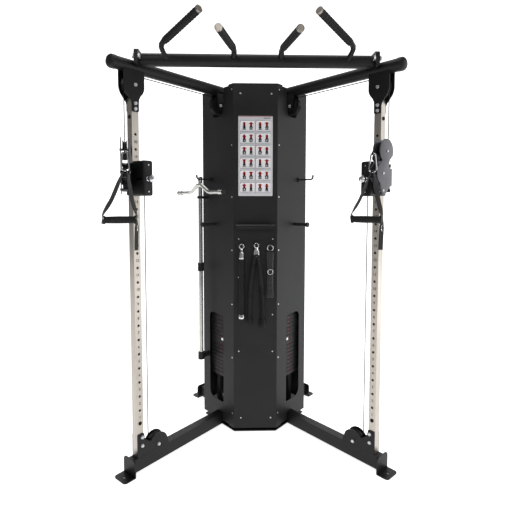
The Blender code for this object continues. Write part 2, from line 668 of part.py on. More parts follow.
# ---------------------------------------------------------------- wheels
def wheels():
    """The large sheaves at the top, at the floor and at the root of each arm."""
    for name, u, z in (("top_pulley", 0.0, TOP_AXLE_Z), ("bottom_pulley", LOW_AXLE_U, LOW_AXLE_Z),
                       ("tower_pulley", ROOT_AXLE_U, TOP_AXLE_Z)):
        emit_pair(name, sheave(WHEEL_R, GROOVE_R, WHEEL_W, AXLE_R + 0.0005, (u, 0, z), (0, 1, 0)),
                  arm_frame, (u, 0, z), "nylon_wheel")
    for name, d, z in (("upper_guide_pulley", UP_D, UP_Z), ("lower_guide_pulley", LOW_D, LOW_Z)):
        emit_pair(name, sheave(SMALL_R, SMALL_GROOVE, 0.022, 0.0055, (d, 0, z), (0, 1, 0)),
                  swivel_frame, (d, 0, z), "nylon_wheel")


# ---------------------------------------------------------------- carriage
def carriages():
    """Sliding sleeve with its pin housing and swivel lugs, and the sprung pull pin."""
    sleeve = box((-0.0270, -0.0270, 1.452), (0.0270, 0.0270, 1.614), 0.003, 1)
    housing = box((-0.0300, 0.0200, 1.449), (0.0260, 0.1200, 1.622), 0.010, 3)
    lugs = []
    for low, high in ((1.470, 1.486), (1.594, 1.610)):
        lug = outline([[(0.0225, -0.016)] + arc((SWIVEL_U, 0.0), 0.0160, -90, 90, 8)
                       + [(0.0225, 0.016)]], low, high, "Z")
        lugs.append(lug)
    pivot = rod((SWIVEL_U, 0, 1.480), (SWIVEL_U, 0, 1.600), 0.0070, 12)
    peg = rod((0.018, -0.022, 1.530), (0.018, -0.067, 1.530), 0.0060, 12)
    anchor = box((-0.070, -0.008, 1.456), (-0.020, 0.008, 1.468))
    bore = box((-0.0204, -0.0204, 1.40), (0.0204, 0.0204, 1.70))
    pin_way = rod((0, 0.010, PIN_Z), (0, 0.140, PIN_Z), 0.0066, 12)
    window = box((0.0150, 0.050, PIN_Z - 0.006), (0.040, 0.108, PIN_Z + 0.006))
    body = cut(join(sleeve, housing, *lugs, pivot, anchor, peg), bore, pin_way, window)
    emit_pair("carriage", body, arm_frame, (0, 0, PIN_Z), "machine_plastic")

    knob = turned([(0.0, 0.0208), (0.0045, 0.0208), (0.0060, 0.0240), (0.0060, 0.1200),
                   (0.0090, 0.1235), (0.0095, 0.1330), (0.0175, 0.1400),
                   (0.0180, 0.1530), (0.0130, 0.1620), (0.0, 0.1650)],
                  (0, 0, PIN_Z), (0, 1, 0), 14)
    emit_pair("pop_pin", knob, arm_frame, (0, 0.12, PIN_Z), "chrome")


def swivels():
    """Figure-eight plates that hold the two small sheaves on a vertical pivot."""
    upper = arc((UP_D + 0.004, UP_Z), 0.060, 200, -50, 11)
    lower = arc((LOW_D, LOW_Z), 0.054, 60, -62, 6)
    shape = upper + lower + [(0.090, 1.482), (0.078, 1.462), (0.062, 1.456), (0.046, 1.464),
                             (0.018, 1.494), (-0.006, 1.502), (-0.006, 1.585), (0.022, 1.590),
                             (0.024, 1.614), (0.014, 1.632)]
    plates = [outline([shape], a, b, "Y") for a, b in ((0.0170, 0.0215), (-0.0215, -0.0170))]
    barrel = rod((0, 0, 1.4865), (0, 0, 1.5935), 0.0125, 16)
    webs = [box((-0.0055, -0.019, 1.504), (0.0065, 0.019, 1.583))]
    spacers = [rod((UP_D, -0.0255, UP_Z), (UP_D, 0.0255, UP_Z), 0.0053, 11),
               rod((LOW_D, -0.0225, LOW_Z), (LOW_D, 0.0225, LOW_Z), 0.0050, 12),
               rod((0.074, -0.0225, 1.478), (0.074, 0.0225, 1.478), 0.0060, 12)]
    body = join(barrel, *webs, *spacers, *plates)
    bore = rod((0, 0, 1.47), (0, 0, 1.61), 0.0076, 12)
    emit_pair("swivel_bracket", cut(body, bore), swivel_frame, (0, 0, 1.54), "grey_plate")


# ---------------------------------------------------------------- cables
def cables():
    """Each side's cable, in the five stretches between its moving sheaves."""
    drop = [(SWIVEL_U, 0, TOP_AXLE_Z - 0.0004), (SWIVEL_U, 0, UP_Z + 0.0004)]
    emit_pair("cable_upper_run", tube(drop, CORD_R), arm_frame, (SWIVEL_U, 0, UP_Z), "black_cord")
    low = [(LOW_AXLE_U + CORD_AT, 0, 1.4555), (LOW_AXLE_U + CORD_AT, 0, LOW_AXLE_Z + 0.0004)]
    emit_pair("cable_lower_run", tube(low, CORD_R), arm_frame,
              (LOW_AXLE_U + CORD_AT, 0, LOW_AXLE_Z), "black_cord")

    over = [(u, 0, z) for u, z in arc((0, TOP_AXLE_Z), CORD_AT, 0, 90, 6)]
    over += [(u, 0, z) for u, z in arc((ROOT_AXLE_U, TOP_AXLE_Z), CORD_AT, 90, 180, 6)]
    emit_pair("cable_arm_run", tube(over, CORD_R), arm_frame, (0, 0, TOP_AXLE_Z), "black_cord")

    loop = [(FLOAT_U + FLOAT_AT, 0, TOP_AXLE_Z - 0.0004)]
    loop += [(u, 0, z) for u, z in arc((FLOAT_U, FLOAT_Z), FLOAT_AT, 0, -180, 8)]
    loop += [(FLOAT_U - FLOAT_AT, 0, TOP_AXLE_Z - 0.0004)]
    emit_pair("cable_lift_loop", tube(loop, CORD_R), arm_frame, (FLOAT_U, 0, TOP_AXLE_Z),
              "black_cord")

    base = [(u, 0, z) for u, z in arc((LOW_AXLE_U, LOW_AXLE_Z), CORD_AT, 0, -90, 6)]
    base += [(u, 0, z) for u, z in arc((BACK_AXLE_U, LOW_AXLE_Z), CORD_AT, 270, 180, 6)]
    base += [(u, 0, z) for u, z in arc((BACK_AXLE_U, TOP_AXLE_Z), CORD_AT, 180, 0, 11)]
    emit_pair("cable_base_run", tube(base, CORD_R), arm_frame, (LOW_AXLE_U, 0, LOW_AXLE_Z),
              "black_cord")


# ---------------------------------------------------------------- handles
def handles():
    """Cable end with its ball, carabiner, webbing and grip; both sides hang the same way."""
    quarter = [(d, 0, z) for d, z in arc((UP_D, UP_Z), SMALL_AT, 180, 270, 6)]
    cord = tube(quarter + [(0.108, 0, UP_Z - SMALL_AT)], CORD_R)
    stop = ball((0.1100, 0, UP_Z - SMALL_AT + 0.004), 0.0190, 14)
    neck = rod((0.116, 0, 1.640), (0.1300, 0, 1.650), 0.0035, 8)
    ring = tube([(HANG_D + 0.0088 * cos(k * pi / 7), 0, HANG_Z + 0.0088 * sin(k * pi / 7))
                 for k in range(14)], 0.0024, closed=True)
    end = baked(join(cord, stop, neck, ring))
    for side, word in SIDES.items():
        emit(f"cable_end_{word}", end, swivel_frame(side), (HANG_D, 0, HANG_Z), "rubber",
             keep=True)
    bpy.data.objects.remove(end, do_unlink=True)

    top, low, wire = 0.0105, 0.0180, 0.0040
    spread = 0.0640
    rise = arc((0.0, 0.0), top, 0, 180, 6)
    bend = arc((0.0, 0.0), low, 180, 360, 8)
    centre = HANG_Z + 0.0015 - top
    loop = [(HANG_D, c, centre + z) for c, z in rise]
    loop += [(HANG_D, c, centre - spread + z) for c, z in bend]
    clip = baked(tube(loop, wire, closed=True, sides=2))
    apex = centre - spread - low

    tab = cut(rod((HANG_D, -0.0060, apex), (HANG_D, 0.0060, apex), 0.0095, 12),
              rod((HANG_D, -0.0200, apex), (HANG_D, 0.0200, apex), 0.0068, 12))
    left, right = -0.1040, 0.0480
    path = [(left, GRIP_Z - 0.014), (left, GRIP_Z + 0.020), (left + 0.006, GRIP_Z + 0.036),
            (-0.005, apex - 0.010), (0.005, apex - 0.010), (right - 0.004, GRIP_Z + 0.036),
            (right, GRIP_Z + 0.020), (right, GRIP_Z - 0.060), (right - 0.003, GRIP_Z - 0.148)]
    band = baked(strip(path, 0.0115, 0.0026))
    band.data.transform(Matrix.Translation((HANG_D, 0, 0)))
    webbing = join(tab, band)

    middle = (left + right) / 2
    half = (right - left) / 2 - 0.0020
    grip = turned([(0.0, -half), (0.0200, -half), (0.0205, -half + 0.003), (0.0165, -half + 0.009),
                   (0.0150, -half + 0.022), (0.0168, 0.0), (0.0150, half - 0.022),
                   (0.0165, half - 0.009), (0.0205, half - 0.003), (0.0200, half), (0.0, half)],
                  (HANG_D, middle, GRIP_Z), (0, 1, 0), 16)
    grip = baked(grip)
    hang = (HANG_D, 0, HANG_Z)
    for side, word in SIDES.items():
        turn = Matrix.Translation(hang) @ Matrix.Rotation(TWIST[side], 4, "Z")
        frame = swivel_frame(side, mirrored=False) @ turn @ Matrix.Translation(-Vector(hang))
        emit(f"carabiner_{word}", clip, frame, hang, "chrome", keep=True)
        emit(f"handle_webbing_{word}", webbing, frame, hang, "webbing", keep=True)
        emit(f"handle_grip_{word}", grip, frame, hang, "rubber", keep=True)
    for done in (clip, webbing, grip):
        bpy.data.objects.remove(done, do_unlink=True)


# ---------------------------------------------------------------- accessories
def accessories():
    """Bars, rope and ankle strap stored on the tower."""
    bar = turned([(0.0, 0.410), (0.0120, 0.410), (0.0135, 0.412), (0.0135, 0.975),
                  (0.0185, 0.978), (0.0185, 1.032), (0.0135, 1.035), (0.0135, 1.575),
                  (0.0120, 1.578), (0.0, 1.578)], (0.270, -0.050, 0), (0, 0, 1), 16)
    emit("lat_bar", bar, panel_frame(-1), (0.270, -0.050, 0.410), "chrome")

    t, z = -0.086, 1.5569
    eye = tube([(0.225 + 0.0130 * cos(k * pi / 7), t, z + 0.0130 * sin(k * pi / 7))
                for k in range(14)], 0.0040, closed=True)
    yoke = rod((0.225, t, z - 0.011), (0.225, t, z - 0.033), 0.0085, 12)
    left = [(0.225, t, z - 0.033), (0.205, t, z - 0.034), (0.140, t, z - 0.073),
            (0.115, t, z - 0.080), (0.002, t, z - 0.080)]
    right = [(0.450 - a, b, c) for a, b, c in left]
    shaft = tube(left[::-1] + right[1:], 0.0125, sides=2)
    ends = [rod((a, t, z - 0.080), (b, t, z - 0.080), 0.0140, 12)
            for a, b in ((0.030, -0.010), (0.420, 0.460))]
    emit("curved_bar", join(shaft, yoke, eye, *ends), panel_frame(-1), (0.225, t, 1.560),
         "chrome")

    face = TOWER_Y - SHEET - 2 * GAP - 0.003
    x, y, z = -0.082, face - 0.0215, 1.160
    eye = tube([(x + 0.0125 * cos(k * pi / 6), y, z - 0.0035 + 0.0125 * sin(k * pi / 6))
                for k in range(12)], 0.0040, closed=True)
    body = turned([(0.0, 0.720), (0.0165, 0.720), (0.0180, 0.724), (0.0180, 0.736),
                   (0.0160, 0.740), (0.0165, 0.760), (0.0165, 1.080), (0.0160, 1.090),
                   (0.0125, 1.094), (0.0125, 1.122), (0.0085, 1.128), (0.0060, 1.146),
                   (0.0, 1.1465)], (x, y, 0), (0, 0, 1), 16)
    emit("short_bar", join(body, eye), Matrix.Identity(4), (x, y, z), "machine_plastic")

    x, y, z = 0.006, face - 0.0240, 1.166
    fitting = cut(outline([rounded(x - 0.016, 1.104, x + 0.016, 1.184, 0.012, 3)],
                          y - 0.004, y + 0.004, "Y"),
                  rod((x, y - 0.01, z - 0.0021), (x, y + 0.01, z - 0.0021), 0.0067, 12))
    strands = [tube([(x - 0.004, y, 1.112), (x - 0.012, y, 1.085), (x - 0.026, y, 0.990),
                     (x - 0.038, y, 0.800), (x - 0.041, y, 0.715)], 0.0135, sides=2),
               tube([(x + 0.004, y, 1.112), (x + 0.012, y, 1.085), (x + 0.024, y, 0.990),
                     (x + 0.034, y, 0.800), (x + 0.036, y, 0.695)], 0.0135, sides=2)]
    knots = [turned([(0.0, 0.0), (0.0140, 0.001), (0.0215, 0.008), (0.0215, 0.026),
                     (0.0150, 0.038), (0.0, 0.0385)], (x + dx, y, low), (0, 0, 1), 14)
             for dx, low in ((-0.0413, 0.686), (0.0363, 0.666))]
    emit("triceps_rope", join(fitting, *strands, *knots), Matrix.Identity(4), (x, y, z), "rubber")

    x, y, z = 0.088, face - 0.0200, 1.156
    rings = [tube([(x + 0.0170 * cos(k * pi / 7), y, z - 0.0093 + 0.0170 * sin(k * pi / 7))
                   for k in range(14)], 0.0030, closed=True)]
    pad = outline([rounded(-0.011, 0.835, 0.011, 1.134, (0.010, 0.010, 0.006, 0.006), 3)],
                  x - 0.026, x + 0.026, "X")
    pad = baked(pad)
    pad.data.transform(Matrix.Translation((0, y, 0)))
    emit("ankle_strap", join(pad, *rings), Matrix.Identity(4), (x, y, z), "webbing")


uprights()
arms()
legs()
crossbar()
covers()
tower_frame()
front_fittings()
stacks()
wheels()
carriages()
swivels()
cables()
handles()
accessories()
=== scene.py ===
import bpy
import json
from math import atan2, cos, pi, radians, sin, sqrt
from mathutils import Matrix, Vector


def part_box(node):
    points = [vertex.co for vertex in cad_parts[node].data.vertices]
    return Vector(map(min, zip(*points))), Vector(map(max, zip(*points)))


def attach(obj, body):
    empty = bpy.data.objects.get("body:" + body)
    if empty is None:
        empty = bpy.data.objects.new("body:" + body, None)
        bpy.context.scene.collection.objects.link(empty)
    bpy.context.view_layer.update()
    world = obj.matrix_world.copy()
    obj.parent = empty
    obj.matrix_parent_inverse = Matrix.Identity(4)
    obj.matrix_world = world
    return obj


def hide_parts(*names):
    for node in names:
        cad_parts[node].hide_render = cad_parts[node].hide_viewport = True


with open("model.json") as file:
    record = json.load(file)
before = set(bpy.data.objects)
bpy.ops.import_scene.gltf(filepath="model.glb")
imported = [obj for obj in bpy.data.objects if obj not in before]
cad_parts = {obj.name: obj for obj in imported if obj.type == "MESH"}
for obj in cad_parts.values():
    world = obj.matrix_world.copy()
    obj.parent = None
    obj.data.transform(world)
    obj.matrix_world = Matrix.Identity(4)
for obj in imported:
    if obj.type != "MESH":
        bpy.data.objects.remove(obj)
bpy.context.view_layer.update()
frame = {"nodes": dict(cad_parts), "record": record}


# ---- Camera
# A 30 mm view from just above chest height, turned a degree and a half to the right and tipped
# slightly down, its frame shifted down so that the feet and the bar both stay in view.
uprights_low, uprights_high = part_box("upright_right")
upright_x = (uprights_low[0] + uprights_high[0]) / 2
upright_y = (uprights_low[1] + uprights_high[1]) / 2
bpy.ops.object.camera_add(location=(-0.064, upright_y - 2.176, 1.421),
                          rotation=(radians(90 - 3.613), radians(-0.09), radians(-1.528)))
camera = bpy.context.object
camera.name = "view_camera"
camera.data.lens = 29.78
camera.data.sensor_width = 36.0
camera.data.shift_y = -0.0538
camera.data.clip_end = 60.0
bpy.context.scene.camera = camera


# ---- Studio
# A glowing white sweep that curves up behind the machine, a small light above the camera on
# each side, one overhead, a broad one on the right, and a dim even surround.
def linear(colour):
    """An sRGB hex colour as linear RGBA."""
    parts = [int(colour[i:i + 2], 16) / 255 for i in (1, 3, 5)]
    return (*[p / 12.92 if p <= 0.04045 else ((p + 0.055) / 1.055) ** 2.4 for p in parts], 1.0)


def add_node(tree, kind, links=None, **settings):
    """Adds a node, sets its sockets and properties, and links sockets from other nodes."""
    made = tree.nodes.new(kind)
    for name, value in settings.items():
        if hasattr(made, name):
            setattr(made, name, value)
        else:
            made.inputs[name.replace("_", " ")].default_value = value
    for socket, source in (links or {}).items():
        tree.links.new(source, made.inputs[socket])
    return made


def new_material(name):
    """An empty Principled material with its tree and shader."""
    made = bpy.data.materials.new(name)
    made.use_nodes = True
    return made, made.node_tree, made.node_tree.nodes["Principled BSDF"]


seamless_paper, tree, shader = new_material("seamless_paper")
shader.inputs["Base Color"].default_value = linear("#fbfbfb")
shader.inputs["Roughness"].default_value = 0.9
shader.inputs["Emission Color"].default_value = linear("#ffffff")
shader.inputs["Emission Strength"].default_value = 0.80
bpy.ops.object.select_all(action="DESELECT")
bpy.ops.mesh.primitive_plane_add(size=1, location=(0, 1.0, 0))
sweep = bpy.context.object
sweep.scale = (16, 9, 1)
bpy.ops.object.transform_apply(location=True, rotation=True, scale=True)
bpy.ops.object.mode_set(mode="EDIT")
bpy.ops.mesh.select_all(action="DESELECT")
bpy.ops.object.mode_set(mode="OBJECT")
for edge in sweep.data.edges:
    edge.select = all(sweep.data.vertices[v].co.y > 5.0 for v in edge.vertices)
bpy.ops.object.mode_set(mode="EDIT")
bpy.ops.mesh.select_mode(type="EDGE")
bpy.ops.mesh.extrude_region_move(TRANSFORM_OT_translate={"value": (0, 0, 7)})
bpy.ops.object.mode_set(mode="OBJECT")
fold = sweep.modifiers.new("fold", "BEVEL")
fold.width = 2.0
fold.segments = 12
bpy.ops.object.modifier_apply(modifier="fold")
bpy.ops.object.shade_smooth()
sweep.name = "studio_sweep"
sweep.data.materials.append(seamless_paper)

for name, spot, turn, size, power in (
        ("key_light", (-1.2, -3.6, 3.8), (50, 0, -18), 1.2, 34),
        ("fill_light", (2.2, -3.2, 2.6), (66, 0, 34), 1.0, 20),
        ("top_light", (0.0, 0.2, 4.6), (0, 0, 0), 2.4, 40),
        ("right_light", (3.4, 0.1, 1.5), (90, 0, 88), 3.6, 54)):
    bpy.ops.object.light_add(type="AREA", location=spot, rotation=[radians(a) for a in turn])
    lamp = bpy.context.object
    lamp.name = name
    lamp.data.size = size
    lamp.data.energy = power
surround = bpy.data.worlds.new("white_surround")
bpy.context.scene.world = surround
surround.use_nodes = True
surround.node_tree.nodes["Background"].inputs["Color"].default_value = (1.0, 1.0, 1.0, 1.0)
surround.node_tree.nodes["Background"].inputs["Strength"].default_value = 0.26
bpy.context.scene.view_settings.view_transform = "Standard"


# ---- Placing pieces
# Each side of the machine is built on two upright planes at 49 degrees: the arm's, through the
# upright tube, and the side panel's. A piece is modelled flat and then carried to its plane.
SPLAY = radians(49.0)
tower_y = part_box("front_cover")[0][1] + 0.0023
SIDES = {-1: "left", 1: "right"}


def plane_at(right, normal, origin):
    """Matrix that carries X to the right, Y up and Z out of a standing surface."""
    columns = Vector((*right, 0)), Vector((0, 0, 1)), Vector((*normal, 0))
    matrix = Matrix.Identity(4)
    for index, column in enumerate(columns):
        for row in range(3):
            matrix[row][index] = column[row]
    matrix.translation = origin
    return matrix


def on_arm(side, u, n, z):
    """A point from its place along the arm (u), across it towards the middle (n), and height."""
    return Vector((side * (upright_x + u * cos(SPLAY) - n * sin(SPLAY)),
                   upright_y - u * sin(SPLAY) - n * cos(SPLAY), z))


def on_panel(side, s, t, z):
    """A point from its place back along the side panel (s), into the tower (t), and height."""
    return Vector((side * (0.130 + s * cos(SPLAY) - t * sin(SPLAY)),
                   tower_y + s * sin(SPLAY) + t * cos(SPLAY), z))


def facing(origin, towards):
    """Matrix that stands a flat piece at origin with its face turned to a direction."""
    out = Vector(towards).normalized()
    right = Vector((0, 0, 1)).cross(out)
    if right.length < 0.01:
        return Matrix.Translation(origin)
    return plane_at(right.normalized()[:2], out[:2], origin)


def arm_way(side, u, n):
    """A level direction from its parts along the arm and across it."""
    return Vector((side * (u * cos(SPLAY) - n * sin(SPLAY)), -u * sin(SPLAY) - n * cos(SPLAY), 0))


def panel_way(side, t):
    """The level direction square to the side panel; t of -1 points out of the tower."""
    return Vector((-side * sin(SPLAY) * t, cos(SPLAY) * t, 0))


def settle(piece, name, material, body, smooth=35):
    """Finishes a piece: its place goes into its mesh, then its shading, finish and body."""
    bpy.ops.object.select_all(action="DESELECT")
    piece.select_set(True)
    bpy.context.view_layer.objects.active = piece
    bpy.ops.object.transform_apply(location=True, rotation=True, scale=True)
    bpy.ops.object.shade_smooth_by_angle(angle=radians(smooth))
    piece.name = name
    piece.data.name = name
    piece.data.materials.clear()
    piece.data.materials.append(material)
    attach(piece, body)
    return piece


def copies(pattern, places):
    """One object made of a copy of the pattern at each place; the pattern is removed."""
    made = []
    for place in places:
        twin = bpy.data.objects.new("copy", pattern.data.copy())
        twin.data.transform(place)
        bpy.context.scene.collection.objects.link(twin)
        made.append(twin)
    bpy.ops.object.select_all(action="DESELECT")
    bpy.data.objects.remove(pattern, do_unlink=True)
    for twin in made:
        twin.select_set(True)
    bpy.context.view_layer.objects.active = made[0]
    bpy.ops.object.join()
    return bpy.context.object


# ---- Powder-coated frame
# Arms, legs, crossbar and tower weldment: steel tube and plate under a satin black polyester
# powder coat, baked on, with the fine pebble that such a coat flows out to.
def surface(tree):
    """Object coordinates, in metres."""
    return add_node(tree, "ShaderNodeTexCoord").outputs["Object"]


def tone(tree, factor, low, high, start=0.35, end=0.65):
    """A ramp between two hex colours."""
    ramp = add_node(tree, "ShaderNodeValToRGB", {"Fac": factor})
    ramp.color_ramp.elements[0].position = start
    ramp.color_ramp.elements[0].color = linear(low)
    ramp.color_ramp.elements[1].position = end
    ramp.color_ramp.elements[1].color = linear(high)
    return ramp.outputs["Color"]


def spread(tree, factor, low, high):
    """A factor stretched to run between two values."""
    return add_node(tree, "ShaderNodeMapRange", {"Value": factor}, To_Min=low,
                    To_Max=high).outputs["Result"]


def coat(name, low, high, rough, pebble_mm, depth, metallic=0.0, patch=9.0):
    """A painted or moulded finish: a fine pebble, and a faint slow change of tone and gloss."""
    made, tree, shader = new_material(name)
    place = surface(tree)
    slow = add_node(tree, "ShaderNodeTexNoise", {"Vector": place}, Scale=patch, Detail=3.0)
    pebble = add_node(tree, "ShaderNodeTexNoise", {"Vector": place}, Scale=1000 / pebble_mm,
                      Detail=2.0)
    tree.links.new(tone(tree, slow.outputs["Fac"], low, high), shader.inputs["Base Color"])
    tree.links.new(spread(tree, slow.outputs["Fac"], rough - 0.05, rough + 0.06),
                   shader.inputs["Roughness"])
    bump = add_node(tree, "ShaderNodeBump", {"Height": pebble.outputs["Fac"]}, Strength=depth,
                    Distance=0.0004)
    tree.links.new(bump.outputs["Normal"], shader.inputs["Normal"])
    shader.inputs["Metallic"].default_value = metallic
    if metallic == 0.0:
        shader.inputs["Specular IOR Level"].default_value = 0.26
    return made


def repaint(material, *nodes):
    """Gives CAD nodes their finish."""
    for name in nodes:
        node = frame["nodes"][name]
        for spot in node.material_slots:
            spot.material = material


powder_coat = coat("black_powder_coat", "#090909", "#0f0f10", 0.46, 1.4, 0.25)
repaint(powder_coat, "arm_left", "arm_right", "leg_left", "leg_right", "crossbar", "tower_frame")


# ---- Tower covers
# Folded 2 mm sheet steel in a charcoal powder coat a shade lighter than the frame, screwed
# together at the corners.
charcoal_sheet = coat("charcoal_powder_coat", "#151516", "#1c1c1e", 0.50, 1.6, 0.22, patch=5.0)
repaint(charcoal_sheet, "front_cover", "side_panel_left", "side_panel_right", "rear_cover",
        "accessory_board")


# ---- Upright tubes
# Square steel tube with a satin nickel finish, brushed along its length, so that the shine
# runs in fine streaks up and down.
brushed_nickel, tree, shader = new_material("brushed_nickel")
place = add_node(tree, "ShaderNodeMapping", {"Vector": surface(tree)}, Scale=(900, 900, 6))
streak = add_node(tree, "ShaderNodeTexNoise", {"Vector": place.outputs["Vector"]}, Scale=1.0,
                  Detail=4.0)
tree.links.new(tone(tree, streak.outputs["Fac"], "#a19b93", "#bfb9b1"),
               shader.inputs["Base Color"])
tree.links.new(spread(tree, streak.outputs["Fac"], 0.24, 0.42), shader.inputs["Roughness"])
bump = add_node(tree, "ShaderNodeBump", {"Height": streak.outputs["Fac"]}, Strength=0.08,
                Distance=0.0002)
tree.links.new(bump.outputs["Normal"], shader.inputs["Normal"])
shader.inputs["Metallic"].default_value = 1.0
repaint(brushed_nickel, "upright_left", "upright_right")


# ---- Chromed parts
# Guide rods, pins, carabiners and bars in decorative chrome, with the faint smears that hands
# leave in its shine.
chrome_plate, tree, shader = new_material("chrome_plate")
smear = add_node(tree, "ShaderNodeTexNoise", {"Vector": surface(tree)}, Scale=45.0, Detail=5.0)
tree.links.new(tone(tree, smear.outputs["Fac"], "#c4c5c7", "#dcdddf"),
               shader.inputs["Base Color"])
tree.links.new(spread(tree, smear.outputs["Fac"], 0.07, 0.20), shader.inputs["Roughness"])
shader.inputs["Metallic"].default_value = 1.0
repaint(chrome_plate, "guide_rods", "pop_pin_left", "pop_pin_right", "selector_pin_left",
        "selector_pin_right", "carabiner_left", "carabiner_right")
satin_chrome = coat("satin_chrome", "#aeaeab", "#c2c2bf", 0.26, 1.5, 0.05, metallic=1.0)
repaint(satin_chrome, "curved_bar", "lat_bar")


# ---- Weight plates
# Cast iron plates, ground on the faces and painted black; the paint lies over the sand
# texture of the casting.
painted_casting = coat("painted_cast_iron", "#141415", "#202021", 0.52, 3.0, 0.55, patch=14.0)
repaint(painted_casting, "lower_stack_left", "lower_stack_right", "lifted_stack_left",
        "lifted_stack_right")


# ---- Pulleys
# Moulded glass-filled nylon, turned in the groove, dark and slightly glossy.
moulded_nylon = coat("moulded_nylon", "#141416", "#1e1e20", 0.34, 2.2, 0.20, patch=20.0)
repaint(moulded_nylon, *[f"{kind}_pulley_{side}" for side in SIDES.values() for kind in
                         ("top", "bottom", "tower", "upper_guide", "lower_guide")])


# ---- Cables
# 5 mm steel cable in a smooth black nylon jacket that takes a soft shine.
cable_jacket = coat("nylon_jacket", "#09090a", "#101011", 0.36, 1.5, 0.15)
repaint(cable_jacket, *[f"cable_{run}_{side}" for side in SIDES.values() for run in
                        ("upper_run", "lower_run", "arm_run", "lift_loop", "base_run")])


# ---- Carriage housings
# Injection-moulded ABS with a fine spark-eroded texture.
moulded_abs = coat("textured_abs", "#0e0e0f", "#161617", 0.46, 0.9, 0.35)
repaint(moulded_abs, "carriage_left", "carriage_right")


# ---- Swivel brackets
# Laser-cut 5 mm plate in a mid-grey metallic powder coat.
grey_plate = coat("grey_metallic_coat", "#46464c", "#54545b", 0.36, 1.2, 0.25, metallic=0.35)
repaint(grey_plate, "swivel_bracket_left", "swivel_bracket_right")


# ---- Rubber
# Moulded rubber of the grips, cord stops and rope ends: matt, with a fine grain.
moulded_rubber = coat("moulded_rubber", "#0e0e0e", "#181818", 0.68, 1.1, 0.5)
repaint(moulded_rubber, "cable_end_left", "cable_end_right", "handle_grip_left",
        "handle_grip_right", "triceps_rope", "short_bar")


# ---- Webbing
# 25 mm nylon webbing; its ribs are drawn about 4 mm apart, wider than real ones, so that they
# still show.
nylon_webbing, tree, shader = new_material("nylon_webbing")
place = surface(tree)
rib = add_node(tree, "ShaderNodeTexWave", {"Vector": place}, Scale=80.0, Distortion=0.6,
               Detail=1.0)
rib.bands_direction = "Z"
fibre = add_node(tree, "ShaderNodeTexNoise", {"Vector": place}, Scale=900.0, Detail=2.0)
tree.links.new(tone(tree, fibre.outputs["Fac"], "#121213", "#242426"),
               shader.inputs["Base Color"])
shader.inputs["Roughness"].default_value = 0.85
shader.inputs["Sheen Weight"].default_value = 0.25
bump = add_node(tree, "ShaderNodeBump", {"Height": rib.outputs["Fac"]}, Strength=0.6,
                Distance=0.0008)
tree.links.new(bump.outputs["Normal"], shader.inputs["Normal"])
repaint(nylon_webbing, "handle_webbing_left", "handle_webbing_right", "ankle_strap")


# ---- Exercise chart
# A printed polystyrene card in two columns of six movements. Each has a white cell with a start
# and an end figure, red above the waist and black below, a red mark and two grey caption lines.
chart_card = coat("printed_polystyrene", "#c4c4c8", "#cdcdd1", 0.40, 2.5, 0.10)
repaint(chart_card, "exercise_chart")
red_ink = coat("red_ink", "#a01217", "#b0181c", 0.42, 1.0, 0.05)
black_ink = coat("black_ink", "#1b1b1c", "#262627", 0.42, 1.0, 0.05)
grey_ink = coat("grey_ink", "#6f6f72", "#7c7c7f", 0.45, 1.0, 0.05)
chart_low, chart_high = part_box("exercise_chart")
ink_y = chart_low[1] - 0.0006


def stroke(x0, z0, x1, z1, width):
    """One printed stroke: a flat bar between two points, its ends rounded."""
    bpy.ops.object.select_all(action="DESELECT")
    length = sqrt((x1 - x0) ** 2 + (z1 - z0) ** 2)
    bpy.ops.mesh.primitive_cube_add(size=1, location=((x0 + x1) / 2, ink_y, (z0 + z1) / 2),
                                    rotation=(0, -atan2(z1 - z0, x1 - x0), 0))
    made = bpy.context.object
    made.scale = (length + width, 0.0003, width)
    bpy.ops.object.transform_apply(location=True, rotation=True, scale=True)
    bpy.ops.object.mode_set(mode="EDIT")
    bpy.ops.mesh.select_all(action="SELECT")
    bpy.ops.mesh.bevel(offset=width * 0.1, segments=1)
    bpy.ops.object.mode_set(mode="OBJECT")
    return made


def gather(parts):
    """Joins parts to one object."""
    bpy.ops.object.select_all(action="DESELECT")
    for part in parts:
        part.select_set(True)
    bpy.context.view_layer.objects.active = parts[0]
    bpy.ops.object.join()
    return bpy.context.object


def figure(x, z, size, arms, knees):
    """A small figure in a movement: red strokes for its head and arms, black for its legs."""
    red, black = [], []
    bpy.ops.object.select_all(action="DESELECT")
    bpy.ops.mesh.primitive_cylinder_add(vertices=10, radius=size * 0.085, depth=0.0003,
                                        location=(x, ink_y, z + size * 0.43),
                                        rotation=(pi / 2, 0, 0))
    bpy.ops.object.transform_apply(location=True, rotation=True, scale=True)
    red.append(bpy.context.object)
    red.append(stroke(x, z + size * 0.28, x, z + size * 0.06, size * 0.27))
    for hand in (-1, 1):
        elbow = (x + hand * size * 0.22 * cos(radians(arms)), z + size * 0.28
                 + size * 0.20 * sin(radians(arms)))
        red.append(stroke(x + hand * size * 0.05, z + size * 0.28, *elbow, size * 0.10))
        knee = (x + hand * size * (0.08 + knees), z - size * 0.20)
        black.append(stroke(x + hand * size * 0.04, z, *knee, size * 0.17))
        black.append(stroke(*knee, x + hand * size * 0.09, z - size * 0.42, size * 0.13))
        black.append(stroke(x + hand * size * 0.22, z - size * 0.46, x, z - size * 0.46,
                            size * 0.05))
    return red, black


